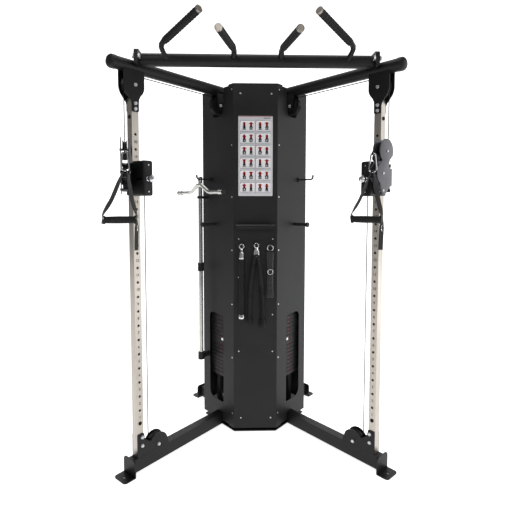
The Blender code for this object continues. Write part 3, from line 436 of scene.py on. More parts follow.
reds, blacks, greys, cells = [], [], [], []
width = chart_high[0] - chart_low[0]
height = chart_high[2] - chart_low[2]
for row in range(6):
    for column in range(2):
        left = chart_low[0] + width * (0.055 + 0.46 * column)
        middle = chart_high[2] - height * (0.125 + 0.154 * row)
        for pose in range(2):
            arms = (35 * row + 70 * pose + 20 * column) % 120 - 70
            red, black = figure(left + 0.024 + 0.040 * pose, middle + 0.002, 0.047,
                                arms, 0.03 * ((row + pose) % 3))
            reds += red
            blacks += black
        panel = stroke(left + 0.028, middle, left + 0.060, middle, 0.056)
        panel.data.transform(Matrix.Translation((0, 0.0003, 0)))
        cells.append(panel)
        reds.append(stroke(left + 0.0035, middle + 0.0262, left + 0.0050, middle + 0.0262,
                           0.0052))
        greys.append(stroke(left + 0.010, middle + 0.0250, left + 0.060, middle + 0.0250,
                            0.0010))
        greys.append(stroke(left + 0.001, middle - 0.0315, left + 0.086, middle - 0.0315,
                            0.0014))
reds.append(stroke(chart_low[0] + 0.003, chart_high[2] - 0.0030, chart_high[0] - 0.003,
                   chart_high[2] - 0.0030, 0.0022))
blacks.append(stroke(chart_high[0] - 0.052, chart_high[2] - 0.0120, chart_high[0] - 0.014,
                     chart_high[2] - 0.0120, 0.0036))
greys.append(stroke((chart_low[0] + chart_high[0]) / 2, chart_high[2] - 0.030,
                    (chart_low[0] + chart_high[0]) / 2, chart_low[2] + 0.010, 0.0012))
white_ink = coat("white_ink", "#dcdcdf", "#e4e4e6", 0.42, 1.0, 0.05)
settle(gather(cells), "chart_cells", white_ink, "frame")
settle(gather(reds), "chart_red_print", red_ink, "frame")
settle(gather(blacks), "chart_black_print", black_ink, "frame")
settle(gather(greys), "chart_caption_lines", grey_ink, "frame")


# ---- Cover screws
# Zinc-plated pan-head screws: M5 along the folded corners and at the front cover's corners, and
# slightly smaller ones on the board.
def pan_screw(radius, proud):
    """A domed screw head with a plain sunk centre, its seat at the origin, facing +Z."""
    bpy.ops.object.select_all(action="DESELECT")
    bpy.ops.mesh.primitive_cylinder_add(vertices=20, radius=radius, depth=proud,
                                        location=(0, 0, proud / 2 + 0.0002))
    head = bpy.context.object
    bpy.ops.object.transform_apply(location=True, rotation=True, scale=True)
    for polygon in head.data.polygons:
        polygon.select = polygon.normal.z > 0.9
    for edge in head.data.edges:
        edge.select = False
    for vertex in head.data.vertices:
        vertex.select = vertex.co.z > proud * 0.9
    bpy.ops.object.mode_set(mode="EDIT")
    bpy.ops.mesh.select_mode(type="VERT")
    bpy.ops.mesh.bevel(offset=proud * 0.55, segments=3)
    bpy.ops.mesh.select_all(action="DESELECT")
    bpy.ops.object.mode_set(mode="OBJECT")
    top = max(head.data.polygons, key=lambda p: p.center.z + p.area * 100)
    top.select = True
    bpy.ops.object.mode_set(mode="EDIT")
    bpy.ops.mesh.select_mode(type="FACE")
    bpy.ops.mesh.inset(thickness=radius * 0.25, depth=0)
    bpy.ops.mesh.inset(thickness=radius * 0.05, depth=-proud * 0.4)
    bpy.ops.object.mode_set(mode="OBJECT")
    return head


zinc_plate = coat("zinc_plate", "#b4b5b8", "#cfd0d2", 0.28, 1.5, 0.10, metallic=1.0)
places = []
for side in SIDES:
    for z in (2.080, 1.757, 1.450, 1.130, 0.800, 0.470, 0.120):
        places.append(facing(on_panel(side, 0.012, -0.0024, z), panel_way(side, -1)))
front_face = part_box("front_cover")[0][1]
for x, z in ((-0.088, 2.054), (0.095, 2.053), (-0.088, 0.096), (0.095, 0.095)):
    places.append(facing(Vector((x, front_face, z)), (0, -1, 0)))
settle(copies(pan_screw(0.0048, 0.0024), places), "cover_screws", zinc_plate, "frame")
board_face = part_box("accessory_board")[1][1] - 0.003
places = [facing(Vector((x, board_face, z)), (0, -1, 0)) for x, z in
          ((-0.100, 1.199), (0.104, 1.198), (-0.101, 0.968), (0.104, 0.739), (-0.100, 0.514),
           (0.104, 0.512))]
settle(copies(pan_screw(0.0042, 0.0020), places), "board_screws", zinc_plate, "frame")


# ---- Nuts and bolts
# Zinc-plated hexagon bolts with washers: at each sheave's axle, through the brackets into the
# uprights, smaller ones through the swivels, and four larger ones where the crossbar's end
# plates meet the arms.
def build_up(rings, sides):
    """A solid built upwards from its base ring: each ring is (radius, height)."""
    bpy.ops.object.select_all(action="DESELECT")
    bpy.ops.mesh.primitive_circle_add(vertices=sides, radius=rings[0][0], fill_type="NGON",
                                      location=(0, 0, rings[0][1]))
    made = bpy.context.object
    bpy.ops.object.transform_apply(location=True, rotation=True, scale=True)
    bpy.ops.object.mode_set(mode="EDIT")
    bpy.ops.mesh.select_mode(type="FACE")
    bpy.ops.mesh.select_all(action="SELECT")
    radius, height = rings[0]
    for wide, high in rings[1:]:
        bpy.ops.mesh.extrude_region_move(
            TRANSFORM_OT_translate={"value": (0, 0, high - height)})
        ratio = wide / radius
        bpy.ops.transform.resize(value=(ratio, ratio, 1), center_override=(0, 0, 0))
        radius, height = wide, high
    bpy.ops.mesh.select_all(action="SELECT")
    bpy.ops.mesh.normals_make_consistent(inside=False)
    bpy.ops.object.mode_set(mode="OBJECT")
    return made


def hex_bolt(corner, thick):
    """A washer with a chamfered hexagon head on it, its size given from centre to corner."""
    washer = build_up([(corner * 1.05, 0.0002), (corner * 1.10, 0.0006), (corner * 1.10, 0.0014),
                       (corner * 1.05, 0.0018)], 20)
    head = build_up([(corner * 0.98, 0.0018), (corner, 0.0022), (corner, thick * 0.85),
                     (corner * 0.86, thick), (corner * 0.55, thick),
                     (corner * 0.50, thick * 0.93)], 6)
    return gather([washer, head])


def at(spot, way):
    """A piece modelled facing up is carried to a spot and turned to face a direction."""
    return (Matrix.Translation(spot)
            @ Vector(way).to_track_quat("Z", "Y").to_matrix().to_4x4())


for side, word in SIDES.items():
    places = []
    for face in (-1, 1):
        way = arm_way(side, 0, face)
        for u, z in ((0.0, 2.000), (-0.6034, 2.000), (-0.113, 0.104)):
            places.append(at(on_arm(side, u, face * 0.0262, z), way))
        for u, z in ((0.001, 1.909), (0.001, 1.882), (-0.008, 0.186), (-0.008, 0.140)):
            places.append(at(on_arm(side, u, face * 0.0253, z), way))
    settle(copies(hex_bolt(0.0085, 0.0075), places), f"bracket_bolts_{word}", zinc_plate,
           "frame")

places = []
for side in SIDES:
    for y, z in ((-0.043, 2.132), (0.043, 2.132)):
        places.append(at(Vector((side * 0.5840, upright_y + y, z)), (-side, 0, 0)))
        places.append(at(Vector((side * 0.6040, upright_y + y, z)), (side, 0, 0)))
settle(copies(hex_bolt(0.0125, 0.0100), places), "crossbar_bolts", zinc_plate, "frame")

joints = {joint["name"]: joint for joint in frame["record"]["behaviour"]["joints"]}


def on_swivel(side, d, c, z):
    """A point from its place ahead of the swivel's axis (d), sideways (c), and height."""
    across = Vector(joints[f"upper_guide_spin_{SIDES[side]}"]["axis"])
    ahead = side * Vector((across.y, -across.x, 0))
    centre = Vector(joints[f"swivel_turn_{SIDES[side]}"]["pos_m"])
    spot = centre + ahead * d + across * c
    spot.z = z
    return spot, across, ahead


for side, word in SIDES.items():
    places = []
    for face in (-1, 1):
        for d, z, c in ((0.042, 1.672, 0.0224), (0.075, 1.562, 0.0218), (0.074, 1.478, 0.0218)):
            spot, across, ahead = on_swivel(side, d, face * c, z)
            places.append(at(spot, across * face))
    settle(copies(hex_bolt(0.0060, 0.0036), places), f"swivel_bolts_{word}", zinc_plate,
           f"swivel_{word}")


# ---- Swivel plates
# The two figure-8 cheeks of each swivel are laser-cut from 5 mm plate, so their two lobes run
# out in smooth arcs; their edges are broken before they are coated.
def cheek(low, high):
    """A figure-8 plate between two sideways places, its edges rounded."""
    def bow(centre, radius, start, end, steps):
        return [(centre[0] + radius * cos(radians(start + (end - start) * k / steps)),
                 centre[1] + radius * sin(radians(start + (end - start) * k / steps)))
                for k in range(steps + 1)]

    rim = (bow((0.046, 1.672), 0.0604, 200, -50, 44) + bow((0.075, 1.562), 0.0544, 60, -62, 26)
           + [(0.0904, 1.4818), (0.0784, 1.4616), (0.0620, 1.4556), (0.0457, 1.4637),
              (0.0177, 1.4936), (-0.0064, 1.5016), (-0.0064, 1.5854), (0.0216, 1.5904),
              (0.0236, 1.6140), (0.0137, 1.6320)])
    bpy.ops.object.select_all(action="DESELECT")
    bpy.ops.mesh.primitive_circle_add(vertices=len(rim), radius=1, fill_type="NGON",
                                      location=(0, 0, 0))
    plate = bpy.context.object
    for vertex, (d, z) in zip(plate.data.vertices, rim):
        vertex.co = (d, z, low)
    bpy.ops.object.mode_set(mode="EDIT")
    bpy.ops.mesh.select_all(action="SELECT")
    bpy.ops.mesh.extrude_region_move(TRANSFORM_OT_translate={"value": (0, 0, high - low)})
    bpy.ops.mesh.select_all(action="SELECT")
    bpy.ops.mesh.normals_make_consistent(inside=False)
    bpy.ops.object.mode_set(mode="OBJECT")
    edge = plate.modifiers.new("edge", "BEVEL")
    edge.width = 0.0007
    edge.segments = 2
    edge.limit_method = "ANGLE"
    edge.angle_limit = radians(50)
    bpy.ops.object.modifier_apply(modifier="edge")
    return plate


for side, word in SIDES.items():
    centre, across, ahead = on_swivel(side, 0.0, 0.0, 0.0)
    stand = Matrix.Identity(4)
    for row in range(3):
        stand[row][0], stand[row][1] = ahead[row], (0, 0, 1)[row]
        stand[row][2] = across[row]
    stand.translation = centre
    plates = [copies(cheek(low, high), [stand]) for low, high in
              ((0.0167, 0.0218), (-0.0218, -0.0167))]
    settle(gather(plates), f"swivel_cheeks_{word}", grey_plate, f"swivel_{word}",
           smooth=30)


# ---- Sheave bearings
# Each sheave turns on a pressed-in ball bearing; its steel ring and sunk shield show on both
# faces round the axle.
def bearing(outer):
    """A flat ring with rounded edges and a sunk shield, facing up."""
    return build_up([(outer, 0.0002), (outer, 0.0010), (outer * 0.95, 0.0014),
                     (outer * 0.84, 0.0014), (outer * 0.82, 0.0008)], 24)


bearing_steel = coat("bearing_steel", "#9fa0a2", "#b6b7b9", 0.22, 1.2, 0.06, metallic=1.0)
for side, word in SIDES.items():
    for kind, u, z in (("top", 0.0, 2.0), ("tower", -0.6034, 2.0), ("bottom", -0.113, 0.104)):
        places = [at(on_arm(side, u, face * 0.0121, z), arm_way(side, 0, face))
                  for face in (-1, 1)]
        settle(copies(bearing(0.0140), places), f"{kind}_bearing_{word}", bearing_steel,
               f"{kind}_wheel_{word}")
    for kind, d, z in (("upper", 0.042, 1.672), ("lower", 0.075, 1.562)):
        places = []
        for face in (-1, 1):
            spot, across, ahead = on_swivel(side, d, face * 0.0111, z)
            places.append(at(spot, across * face))
        settle(copies(bearing(0.0120), places), f"{kind}_guide_bearing_{word}", bearing_steel,
               f"{kind}_guide_{word}")


# ---- Upright fittings
# Low black rubber stops near the top and the bottom of each tube. A dark ring round every hole is
# painted shade that deepens the hole's dark look, and the holes are numbered from 1 at the bottom,
# so that both sides can be set alike.
for side, word in SIDES.items():
    places = []
    for way in (1, -1):
        places.append(at(on_arm(side, way * 0.0200, 0, 1.843), arm_way(side, way, 0)))
    for way in (1, -1):
        places.append(at(on_arm(side, 0, way * 0.0200, 0.262), arm_way(side, 0, way)))
    stop = build_up([(0.0100, 0.0002), (0.0100, 0.0010), (0.0092, 0.0016), (0.0090, 0.0034),
                     (0.0078, 0.0044), (0.0036, 0.0047)], 20)
    settle(copies(stop, places), f"rubber_stops_{word}", moulded_rubber, "frame")


def hoop(radius, wire, around, sides):
    """A ring of round wire lying flat, left as the active object."""
    bpy.ops.object.select_all(action="DESELECT")
    bpy.ops.mesh.primitive_torus_add(major_radius=radius, minor_radius=wire,
                                     major_segments=around, minor_segments=sides)
    return bpy.context.object


top_hole, hole_pitch, hole_count = 1.757, 0.075, 20
number_ink = coat("number_ink", "#1d1c1b", "#272624", 0.5, 1.0, 0.05)
for side, word in SIDES.items():
    labels = []
    for step in range(hole_count):
        bpy.ops.object.select_all(action="DESELECT")
        bpy.ops.object.text_add(location=(0, 0, 0))
        digit = bpy.context.object
        digit.data.body = str(hole_count - step)
        digit.data.size = 0.0200
        digit.data.align_x = "CENTER"
        digit.data.align_y = "CENTER"
        digit.data.extrude = 0.0001
        digit.data.offset = 0.0004
        bpy.ops.object.convert(target="MESH")
        digit = bpy.context.object
        middle = top_hole - hole_pitch * (step + 0.5)
        digit.data.transform(facing(on_arm(side, 0, 0.0203, middle), arm_way(side, 0, 1)))
        labels.append(digit)
    settle(gather(labels), f"hole_numbers_{word}", number_ink, "frame")

# Painted shade: a thin black ring round each hole stands in for the shade inside it.
for side, word in SIDES.items():
    places = [at(on_arm(side, 0, 0.0201, top_hole - hole_pitch * step), arm_way(side, 0, 1))
              for step in range(hole_count)]
    settle(copies(hoop(0.0062, 0.0008, 20, 6), places), f"hole_shade_rings_{word}", black_ink, "frame")


# ---- Pull-up grips
# Ribbed rubber sleeves on the four handles, each closed by a bare steel cap, with a ring of
# weld where the handle leaves the bar.
bare_steel = coat("bare_steel", "#8c867f", "#a8a29a", 0.36, 1.2, 0.10, metallic=1.0)
for side, word in SIDES.items():
    for name, bend, tip, root, lean in (
            ("outer", (0.452, -0.096, 2.180), (0.2645, -0.270, 2.258), (0.4480, -0.0250, 2.128),
             (0.02, -1.0, 0.18)),
            ("inner", (0.118, -0.090, 2.156), (0.176, -0.310, 2.165), (0.1170, -0.0290, 2.133),
             (0.0, -1.0, 0.22))):
        first = Vector((side * bend[0], upright_y + bend[1], bend[2]))
        last = Vector((side * tip[0], upright_y + tip[1], tip[2]))
        way = (last - first).normalized()
        length = (last - first).length
        cap = build_up([(0.0172, -0.0040), (0.0180, -0.0030), (0.0180, 0.0050), (0.0172, 0.0062),
                        (0.0120, 0.0064), (0.0112, 0.0052)], 28)
        settle(copies(cap, [at(last, way)]), f"grip_cap_{name}_{word}", bare_steel, "frame")
        rings = []
        turns = 26
        for k in range(turns):
            start = 0.0168 + 0.0012 * (k % 2)
            along = length * (0.06 + 0.88 * k / turns)
            rings += [(start, along), (start, along + length * 0.88 / turns * 0.85)]
        sleeve = build_up([(0.0150, length * 0.05)] + rings + [(0.0150, length * 0.955)], 24)
        settle(copies(sleeve, [at(first, way)]), f"grip_sleeve_{name}_{word}", moulded_rubber,
               "frame", smooth=50)
        spot = Vector((side * root[0], upright_y + root[1], root[2]))
        settle(copies(hoop(0.0150, 0.0030, 28, 8), [at(spot, (side * lean[0], lean[1], lean[2]))]),
               f"grip_weld_{name}_{word}", powder_coat, "frame")


# ---- Carriage details
# Two screws in each moulded housing, a chromed collar round its pull pin, and the black rubber
# sleeve of the short grab peg behind it.
for side, word in SIDES.items():
    carriage = f"carriage_{word}"
    places = [at(on_arm(side, -0.002, 0.1201, z), arm_way(side, 0, 1)) for z in (1.470, 1.600)]
    settle(copies(pan_screw(0.0042, 0.0020), places), f"housing_screws_{word}", zinc_plate,
           carriage)
    grab = build_up([(0.0072, 0.0), (0.0080, 0.0015), (0.0080, 0.0380), (0.0088, 0.0400),
                     (0.0088, 0.0450), (0.0070, 0.0475), (0.0030, 0.0480)], 20)
    settle(copies(grab, [at(on_arm(side, 0.018, -0.0285, 1.530), arm_way(side, 0, -1))]),
           f"grab_peg_{word}", moulded_rubber, carriage)
    collar = build_up([(0.0125, 0.0), (0.0125, 0.0022), (0.0110, 0.0030), (0.0100, 0.0030)], 24)
    settle(copies(collar, [at(on_arm(side, 0, 0.1201, 1.532), arm_way(side, 0, 1))]),
           f"pin_collar_{word}", chrome_plate, carriage)


# ---- Cable ends
# Each cable ends in a rubber stop ball with a moulding seam, and a swaged steel ferrule that
# carries the ring.
for side, word in SIDES.items():
    spot, across, ahead = on_swivel(side, 0.110, 0.0, 1.634)
    settle(copies(hoop(0.0189, 0.0007, 32, 6), [at(spot, ahead)]), f"ball_seam_{word}",
           moulded_rubber, f"swivel_{word}")
    ferrule = build_up([(0.0040, 0.0), (0.0046, 0.0008), (0.0046, 0.0060), (0.0052, 0.0068),
                        (0.0052, 0.0084), (0.0040, 0.0092)], 16)
    start, across, ahead = on_swivel(side, 0.1225, 0.0, 1.6446)
    end, across, ahead = on_swivel(side, 0.1300, 0.0, 1.6500)
    settle(copies(ferrule, [at(start, end - start)]), f"cable_ferrule_{word}", chrome_plate,
           f"swivel_{word}")


# ---- Weight plate marks
# Small red enamel dots on the plates' front edges count them off in the window; the rims of
# their selector holes are bare steel.
red_paint = coat("red_enamel", "#a3161a", "#b51e22", 0.32, 1.0, 0.08)
for side, word in SIDES.items():
    for body, node, low, count in (("frame", "lower_stack", 0.305, 9),
                                   (f"stack_{word}", "lifted_stack", 0.542, 8)):
        dots, holes = [], []
        for k in range(count):
            z = low + 0.025 * k + 0.0125
            dots.append(at(on_panel(side, 0.160, 0.0250, z), panel_way(side, -1)))
            if k or body == "frame":
                holes.append(at(on_panel(side, 0.125, 0.0250, z), panel_way(side, -1)))
        dot = build_up([(0.0030, 0.0002), (0.0030, 0.0005), (0.0026, 0.0007)], 12)
        settle(copies(dot, dots), f"plate_marks_{node}_{word}", red_paint, body)
        rim = build_up([(0.0066, 0.0002), (0.0066, 0.0006), (0.0058, 0.0008), (0.0050, 0.0008),
                        (0.0046, 0.0003)], 16)
        settle(copies(rim, holes), f"plate_holes_{node}_{word}", bare_steel, body)


# ---- D-handles
# Nylon webbing goes from one end of the grip up to the carabiner and down to the other end,
# twisting on the way; a band holds it together at the top, and its free tail hangs below with a
# chromed oval ring on it. Short rows of stitches show above the grip's ends.
def on_handle(side, c, d, z):
    """A point from its place along the grip (c), ahead of it (d), and height."""
    along = Vector(joints[f"handle_swing_{SIDES[side]}"]["axis"])
    ahead = Vector((along.y, -along.x, 0))
    spot = Vector(joints[f"handle_swing_{SIDES[side]}"]["pos_m"]) + along * c + ahead * d
    spot.z = z
    return spot, along, ahead


def swept_strap(side, path, half_width, thick, twist=0.0):
    """A strap along a path of (c, z) points; it twists most between its top and its ends."""
    bpy.ops.object.select_all(action="DESELECT")
    bpy.ops.mesh.primitive_grid_add(x_subdivisions=4, y_subdivisions=len(path) - 1, size=1,
                                    location=(0, 0, 0))
    strap = bpy.context.object
    for k, (c, z) in enumerate(path):
        c0, z0 = path[max(k - 1, 0)]
        c1, z1 = path[min(k + 1, len(path) - 1)]
        run = sqrt((c1 - c0) ** 2 + (z1 - z0) ** 2)
        ends = min(1.0, abs(z - 1.566) / 0.06) * min(1.0, abs(z - 1.345) / 0.05)
        turn = radians(twist) * ends
        for j in range(5):
            across = half_width * (j - 2) / 2
            flat = across * sin(turn) / run
            strap.data.vertices[k * 5 + j].co = on_handle(
                side, c + (z1 - z0) * flat, across * cos(turn), z - (c1 - c0) * flat)[0]
    strap.data.update()
    wall = strap.modifiers.new("thickness", "SOLIDIFY")
    wall.thickness = thick
    wall.offset = 0
    bpy.ops.object.modifier_apply(modifier="thickness")
    edge = strap.modifiers.new("edge", "BEVEL")
    edge.width = thick * 0.25
    edge.segments = 2
    edge.limit_method = "ANGLE"
    bpy.ops.object.modifier_apply(modifier="edge")
    return strap


def smooth_path(points, steps):
    """Points on a smooth curve through the given ones."""
    made = []
    for i in range(len(points) - 1):
        p0, p1 = Vector(points[max(i - 1, 0)]), Vector(points[i])
        p2, p3 = Vector(points[i + 1]), Vector(points[min(i + 2, len(points) - 1)])
        for k in range(steps):
            t = k / steps
            made.append(0.5 * ((2 * p1) + (p2 - p0) * t + (2 * p0 - 5 * p1 + 4 * p2 - p3) * t * t
                               + (3 * p1 - p0 - 3 * p2 + p3) * t ** 3))
    made.append(Vector(points[-1]))
    return made


stitch_thread = coat("stitch_thread", "#3c3c3e", "#4a4a4c", 0.7, 0.5, 0.2)
for side, word in SIDES.items():
    body = f"handle_{word}"
    left, right, grip_z, apex = -0.1040, 0.0480, 1.335, 1.5640
    outer = [(left, grip_z - 0.018), (left - 0.0008, grip_z), (left, grip_z + 0.020),
             (left + 0.010, grip_z + 0.042), (-0.060, 1.436), (-0.018, apex - 0.024),
             (-0.0075, apex - 0.006), (-0.006, apex + 0.004), (0.0, apex + 0.0082),
             (0.006, apex + 0.004), (0.0075, apex - 0.006), (0.0120, apex - 0.024),
             (0.028, 1.436), (right - 0.005, grip_z + 0.042), (right, grip_z + 0.020),
             (right + 0.0008, grip_z), (right, grip_z - 0.040), (right - 0.002, grip_z - 0.090),
             (right - 0.003, grip_z - 0.146)]
    path = [(p.x, p.y) for p in smooth_path([(c, z, 0) for c, z in outer], 4)]
    strap = swept_strap(side, path, 0.0118, 0.0034, twist=48)
    settle(strap, f"handle_strap_{word}", nylon_webbing, body, smooth=40)
    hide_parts(f"handle_webbing_{word}")
    wrap = swept_strap(side, [(-0.0130, apex - 0.030), (-0.0098, apex - 0.014),
                              (0.0098, apex - 0.014), (0.0130, apex - 0.030),
                              (-0.0130, apex - 0.030)], 0.0126, 0.0016)
    settle(wrap, f"handle_keeper_{word}", nylon_webbing, body, smooth=40)
    threads = []
    for k in range(6):
        for d in (-0.0085, 0.0085):
            for c in (left + 0.0006, right - 0.0030):
                threads.append(at(on_handle(side, c - 0.0006, d, grip_z + 0.023 + 0.0018 * k)[0],
                                  on_handle(side, 0, 0, 0)[1]))
    stitch = build_up([(0.0005, 0.0), (0.0007, 0.0006), (0.0007, 0.0030), (0.0005, 0.0036)], 6)
    settle(copies(stitch, threads), f"handle_stitches_{word}", stitch_thread, body)
    buckle = hoop(0.0125, 0.0018, 32, 10)
    buckle.data.transform(Matrix.Diagonal((0.85, 1.10, 1.0, 1.0)))
    spot, along, ahead = on_handle(side, right + 0.0026, 0, grip_z - 0.040)
    settle(copies(buckle, [at(spot, along)]), f"strap_buckle_{word}", chrome_plate, body)
    middle = (left + right) / 2
    half = (right - left) / 2 - 0.0030
    rings = [(0.0120, -half), (0.0196, -half), (0.0206, -half + 0.0015), (0.0206, -half + 0.005),
             (0.0172, -half + 0.009)]
    ribs = 22
    for k in range(ribs):
        centre = -half + 0.012 + (2 * half - 0.024) * k / ribs
        swell = 0.0158 + 0.0016 * cos(centre / half * pi / 2)
        step = (2 * half - 0.024) / ribs
        rings += [(swell - 0.0006, centre), (swell, centre + step * 0.2),
                  (swell, centre + step * 0.75), (swell - 0.0006, centre + step * 0.95)]
    rings += [(0.0172, half - 0.009), (0.0206, half - 0.005), (0.0206, half - 0.0015),
              (0.0196, half), (0.0120, half)]
    spot, along, ahead = on_handle(side, middle, 0, grip_z)
    sleeve = copies(build_up(rings, 28), [at(spot, along)])
    settle(sleeve, f"handle_sleeve_{word}", moulded_rubber, body, smooth=50)
    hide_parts(f"handle_grip_{word}")


# ---- Tray edge
# A dark anodised aluminium trim along the tray's front lip, its edges rounded.
anodised = coat("anodised_aluminium", "#4f4e4c", "#5c5b58", 0.38, 1.0, 0.08, metallic=1.0)
lip_y = tower_y - 0.0026 - 0.0290
bpy.ops.object.select_all(action="DESELECT")
bpy.ops.mesh.primitive_cube_add(size=1, location=(0, lip_y, 1.2835))
trim = bpy.context.object
trim.scale = (0.2300, 0.0050, 0.0046)
bpy.ops.object.transform_apply(location=True, rotation=True, scale=True)
edge = trim.modifiers.new("edge", "BEVEL")
edge.width = 0.0018
edge.segments = 3
bpy.ops.object.modifier_apply(modifier="edge")
settle(trim, "tray_trim", anodised, "frame")


# ---- Short straight bar
# A steel bar in a black moulded sleeve with a chromed swivel eye at the top and a chromed
# end cap, on the board's left peg.
bar_low, bar_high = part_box("short_bar")
bar_x, bar_y = (bar_low[0] + bar_high[0]) / 2, (bar_low[1] + bar_high[1]) / 2
rings = [(0.0140, 0.7450), (0.0164, 0.7465)]
for k in range(38):
    z = 0.7500 + 0.0086 * k
    rings += [(0.0164, z), (0.0158, z + 0.0012), (0.0158, z + 0.0020), (0.0164, z + 0.0030)]
rings += [(0.0164, 1.0800), (0.0150, 1.0820)]
sleeve = copies(build_up(rings, 28), [Matrix.Translation((bar_x, bar_y, 0))])
settle(sleeve, "short_bar_sleeve", moulded_rubber, "short_bar", smooth=50)
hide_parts("short_bar")
foot = copies(build_up([(0.0150, 0.7205), (0.0176, 0.7225), (0.0180, 0.7250), (0.0180, 0.7380),
                        (0.0166, 0.7410), (0.0160, 0.7460)], 28),
              [Matrix.Translation((bar_x, bar_y, 0))])
neck = copies(build_up([(0.0150, 1.0810), (0.0163, 1.0830), (0.0163, 1.0880), (0.0130, 1.0900),
                        (0.0126, 1.0960), (0.0126, 1.1180), (0.0110, 1.1220), (0.0070, 1.1240),
                        (0.0066, 1.1300), (0.0088, 1.1320), (0.0088, 1.1380),
                        (0.0060, 1.1430)], 28), [Matrix.Translation((bar_x, bar_y, 0))])
bpy.ops.object.select_all(action="DESELECT")
bpy.ops.mesh.primitive_torus_add(major_radius=0.0125, minor_radius=0.0038, major_segments=36,
                                 minor_segments=12, location=(bar_x, bar_y, 1.1565),
                                 rotation=(pi / 2, 0, 0))
eye = bpy.context.object
bpy.ops.object.transform_apply(location=True, rotation=True, scale=True)
settle(gather([foot, neck, eye]), "short_bar_fittings", chrome_plate, "short_bar")


# ---- Pull-down rope
# Two falls of 27 mm laid nylon rope held in a chromed shackle, each running into a moulded
# rubber stop. The rope is laid from three strands, twisted once in 60 mm.
rope_low, rope_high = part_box("triceps_rope")
rope_y = (rope_low[1] + rope_high[1]) / 2
laid_rope = coat("laid_nylon", "#121213", "#232325", 0.78, 1.3, 0.8)
for name, course in (
        ("left", [(0.001, 1.107), (-0.004, 1.090), (-0.013, 1.050), (-0.021, 0.990),
                  (-0.031, 0.895), (-0.034, 0.800), (-0.035, 0.724)]),
        ("right", [(0.011, 1.107), (0.016, 1.090), (0.024, 1.050), (0.030, 0.990),
                   (0.038, 0.895), (0.041, 0.800), (0.042, 0.704)])):
    line = smooth_path([(x, rope_y, z) for x, z in course], 6)
    strands = []
    for lay in range(3):
        bpy.ops.object.select_all(action="DESELECT")
        bpy.ops.curve.primitive_bezier_curve_add()
        strand = bpy.context.object
        strand.data.splines.clear()
        strand.data.dimensions = "3D"
        strand.data.bevel_depth = 0.0072
        strand.data.bevel_resolution = 3
        strand.data.use_fill_caps = True
        fine = []
        for i in range(len(line) - 1):
            fine += [line[i].lerp(line[i + 1], k / 3) for k in range(3)]
        fine.append(line[-1])
        spline = strand.data.splines.new("POLY")
        spline.points.add(len(fine) - 1)
        travelled = 0.0
        for i, point in enumerate(fine):
            if i:
                travelled += (fine[i] - fine[i - 1]).length
            turn = travelled / 0.060 * 2 * pi + lay * 2 * pi / 3
            offset = Vector((cos(turn) * 0.0064, sin(turn) * 0.0064, 0))
            spline.points[i].co = (*(point + offset), 1.0)
        bpy.ops.object.convert(target="MESH")
        strands.append(bpy.context.object)
    strand = gather(strands)
    settle(strand, f"rope_{name}", laid_rope, "rope", smooth=60)
    length = sum((b - a).length for a, b in zip(line, line[1:]))
    low = line[-1]
    stop = build_up([(0.0120, -0.0370), (0.0196, -0.0360), (0.0212, -0.0330), (0.0212, -0.0130),
                     (0.0200, -0.0100), (0.0165, -0.0040), (0.0155, 0.0100)], 28)
    stop = copies(stop, [Matrix.Translation(low)])
    settle(stop, f"rope_stop_{name}", moulded_rubber, "rope")
    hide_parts("triceps_rope")
bpy.ops.object.select_all(action="DESELECT")
bpy.ops.mesh.primitive_torus_add(major_radius=0.0125, minor_radius=0.0042, major_segments=36,
                                 minor_segments=12, location=(0.006, rope_y, 1.1620),
                                 rotation=(pi / 2, 0, 0))
loop = bpy.context.object
bpy.ops.object.transform_apply(location=True, rotation=True, scale=True)
clamp = copies(build_up([(0.0150, 1.0960), (0.0172, 1.0980), (0.0172, 1.1120), (0.0160, 1.1260),
                         (0.0120, 1.1400), (0.0075, 1.1500)], 24),
               [Matrix.Translation((0.006, rope_y, 0)) @ Matrix.Scale(0.55, 4, (0, 1, 0))])
settle(gather([loop, clamp]), "rope_shackle", chrome_plate, "rope")


# ---- Ankle strap
# A flat padded nylon cuff with foam inside, pinched in along four rows of sewing, and two round
# chromed rings.
strap_low, strap_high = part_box("ankle_strap")
strap_x, strap_y = (strap_low[0] + strap_high[0]) / 2, (strap_low[1] + strap_high[1]) / 2
bpy.ops.object.select_all(action="DESELECT")
bpy.ops.mesh.primitive_cube_add(size=1, location=(strap_x, strap_y, 0.985))
cuff = bpy.context.object
cuff.scale = (0.044, 0.0135, 0.280)
bpy.ops.object.transform_apply(location=True, rotation=True, scale=True)
bpy.ops.object.mode_set(mode="EDIT")
bpy.ops.mesh.select_all(action="SELECT")
bpy.ops.mesh.bevel(offset=0.0052, segments=3)
bpy.ops.object.mode_set(mode="OBJECT")
remesh = cuff.modifiers.new("voxels", "REMESH")
remesh.mode = "VOXEL"
remesh.voxel_size = 0.004
bpy.ops.object.modifier_apply(modifier="voxels")
before = [v.co.copy() for v in cuff.data.vertices]
cloth = cuff.modifiers.new("cloth", "CLOTH")
cloth.settings.use_pressure = True
cloth.settings.uniform_pressure_force = 4.0
cloth.settings.effector_weights.gravity = 0.0
for step in range(1, 21):
    bpy.context.scene.frame_set(step)
bpy.ops.object.modifier_apply(modifier="cloth")
bpy.context.scene.frame_set(1)
for vertex, start in zip(cuff.data.vertices, before):
    moved = vertex.co - start
    if moved.length > 0.0035:
        vertex.co = start + moved.normalized() * 0.0035
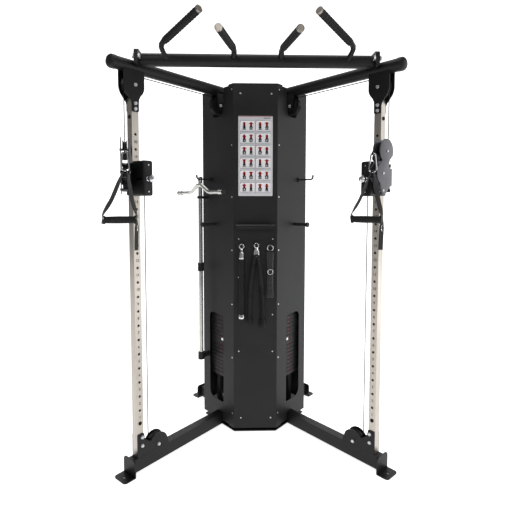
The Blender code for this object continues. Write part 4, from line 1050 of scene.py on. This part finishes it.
for vertex in cuff.data.vertices:
    for seam in (0.900, 0.930, 1.040, 1.070):
        near = abs(vertex.co.z - seam)
        if near < 0.007:
            vertex.co.y = strap_y + (vertex.co.y - strap_y) * (0.72 + 0.28 * near / 0.007)
round_up = cuff.modifiers.new("round", "SUBSURF")
round_up.levels = 1
round_up.render_levels = 1
bpy.ops.object.modifier_apply(modifier="round")
settle(cuff, "ankle_cuff", nylon_webbing, "ankle_strap", smooth=60)
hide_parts("ankle_strap")
rings = []
for z, radius in ((1.1467, 0.0170), (1.0050, 0.0150)):
    bpy.ops.object.select_all(action="DESELECT")
    y = strap_y if z > 1.1 else strap_y - 0.0120
    bpy.ops.mesh.primitive_torus_add(major_radius=radius, minor_radius=0.0026,
                                     major_segments=36, minor_segments=10,
                                     location=(strap_x, y, z), rotation=(pi / 2, 0, 0))
    bpy.ops.object.transform_apply(location=True, rotation=True, scale=True)
    rings.append(bpy.context.object)
settle(gather(rings), "ankle_rings", chrome_plate, "ankle_strap")


# ---- Bar ends
# The curved bar is chromed from end to end, with a black plastic plug pushed into each end; the
# tall bar has a black rubber sleeve at its middle.
plug = build_up([(0.0125, -0.0040), (0.0146, -0.0036), (0.0146, 0.0022), (0.0135, 0.0034),
                 (0.0060, 0.0036)], 24)
forward = on_panel(-1, 1, 0, 0) - on_panel(-1, 0, 0, 0)
ends = [at(on_panel(-1, -0.0100, -0.086, 1.4769), -forward),
        at(on_panel(-1, 0.4600, -0.086, 1.4769), forward)]
settle(copies(plug, ends), "curved_bar_plugs", moulded_abs, "curved_bar")
rings = [(0.0150, 0.9770)]
for k in range(12):
    z = 0.9790 + 0.0044 * k
    rings += [(0.0188, z), (0.0194, z + 0.0010), (0.0194, z + 0.0026), (0.0188, z + 0.0036)]
rings += [(0.0150, 1.0330)]
spot = on_panel(-1, 0.270, -0.050, 0)
settle(copies(build_up(rings, 28), [Matrix.Translation(spot)]), "tall_bar_sleeve",
       moulded_rubber, "lat_bar", smooth=50)
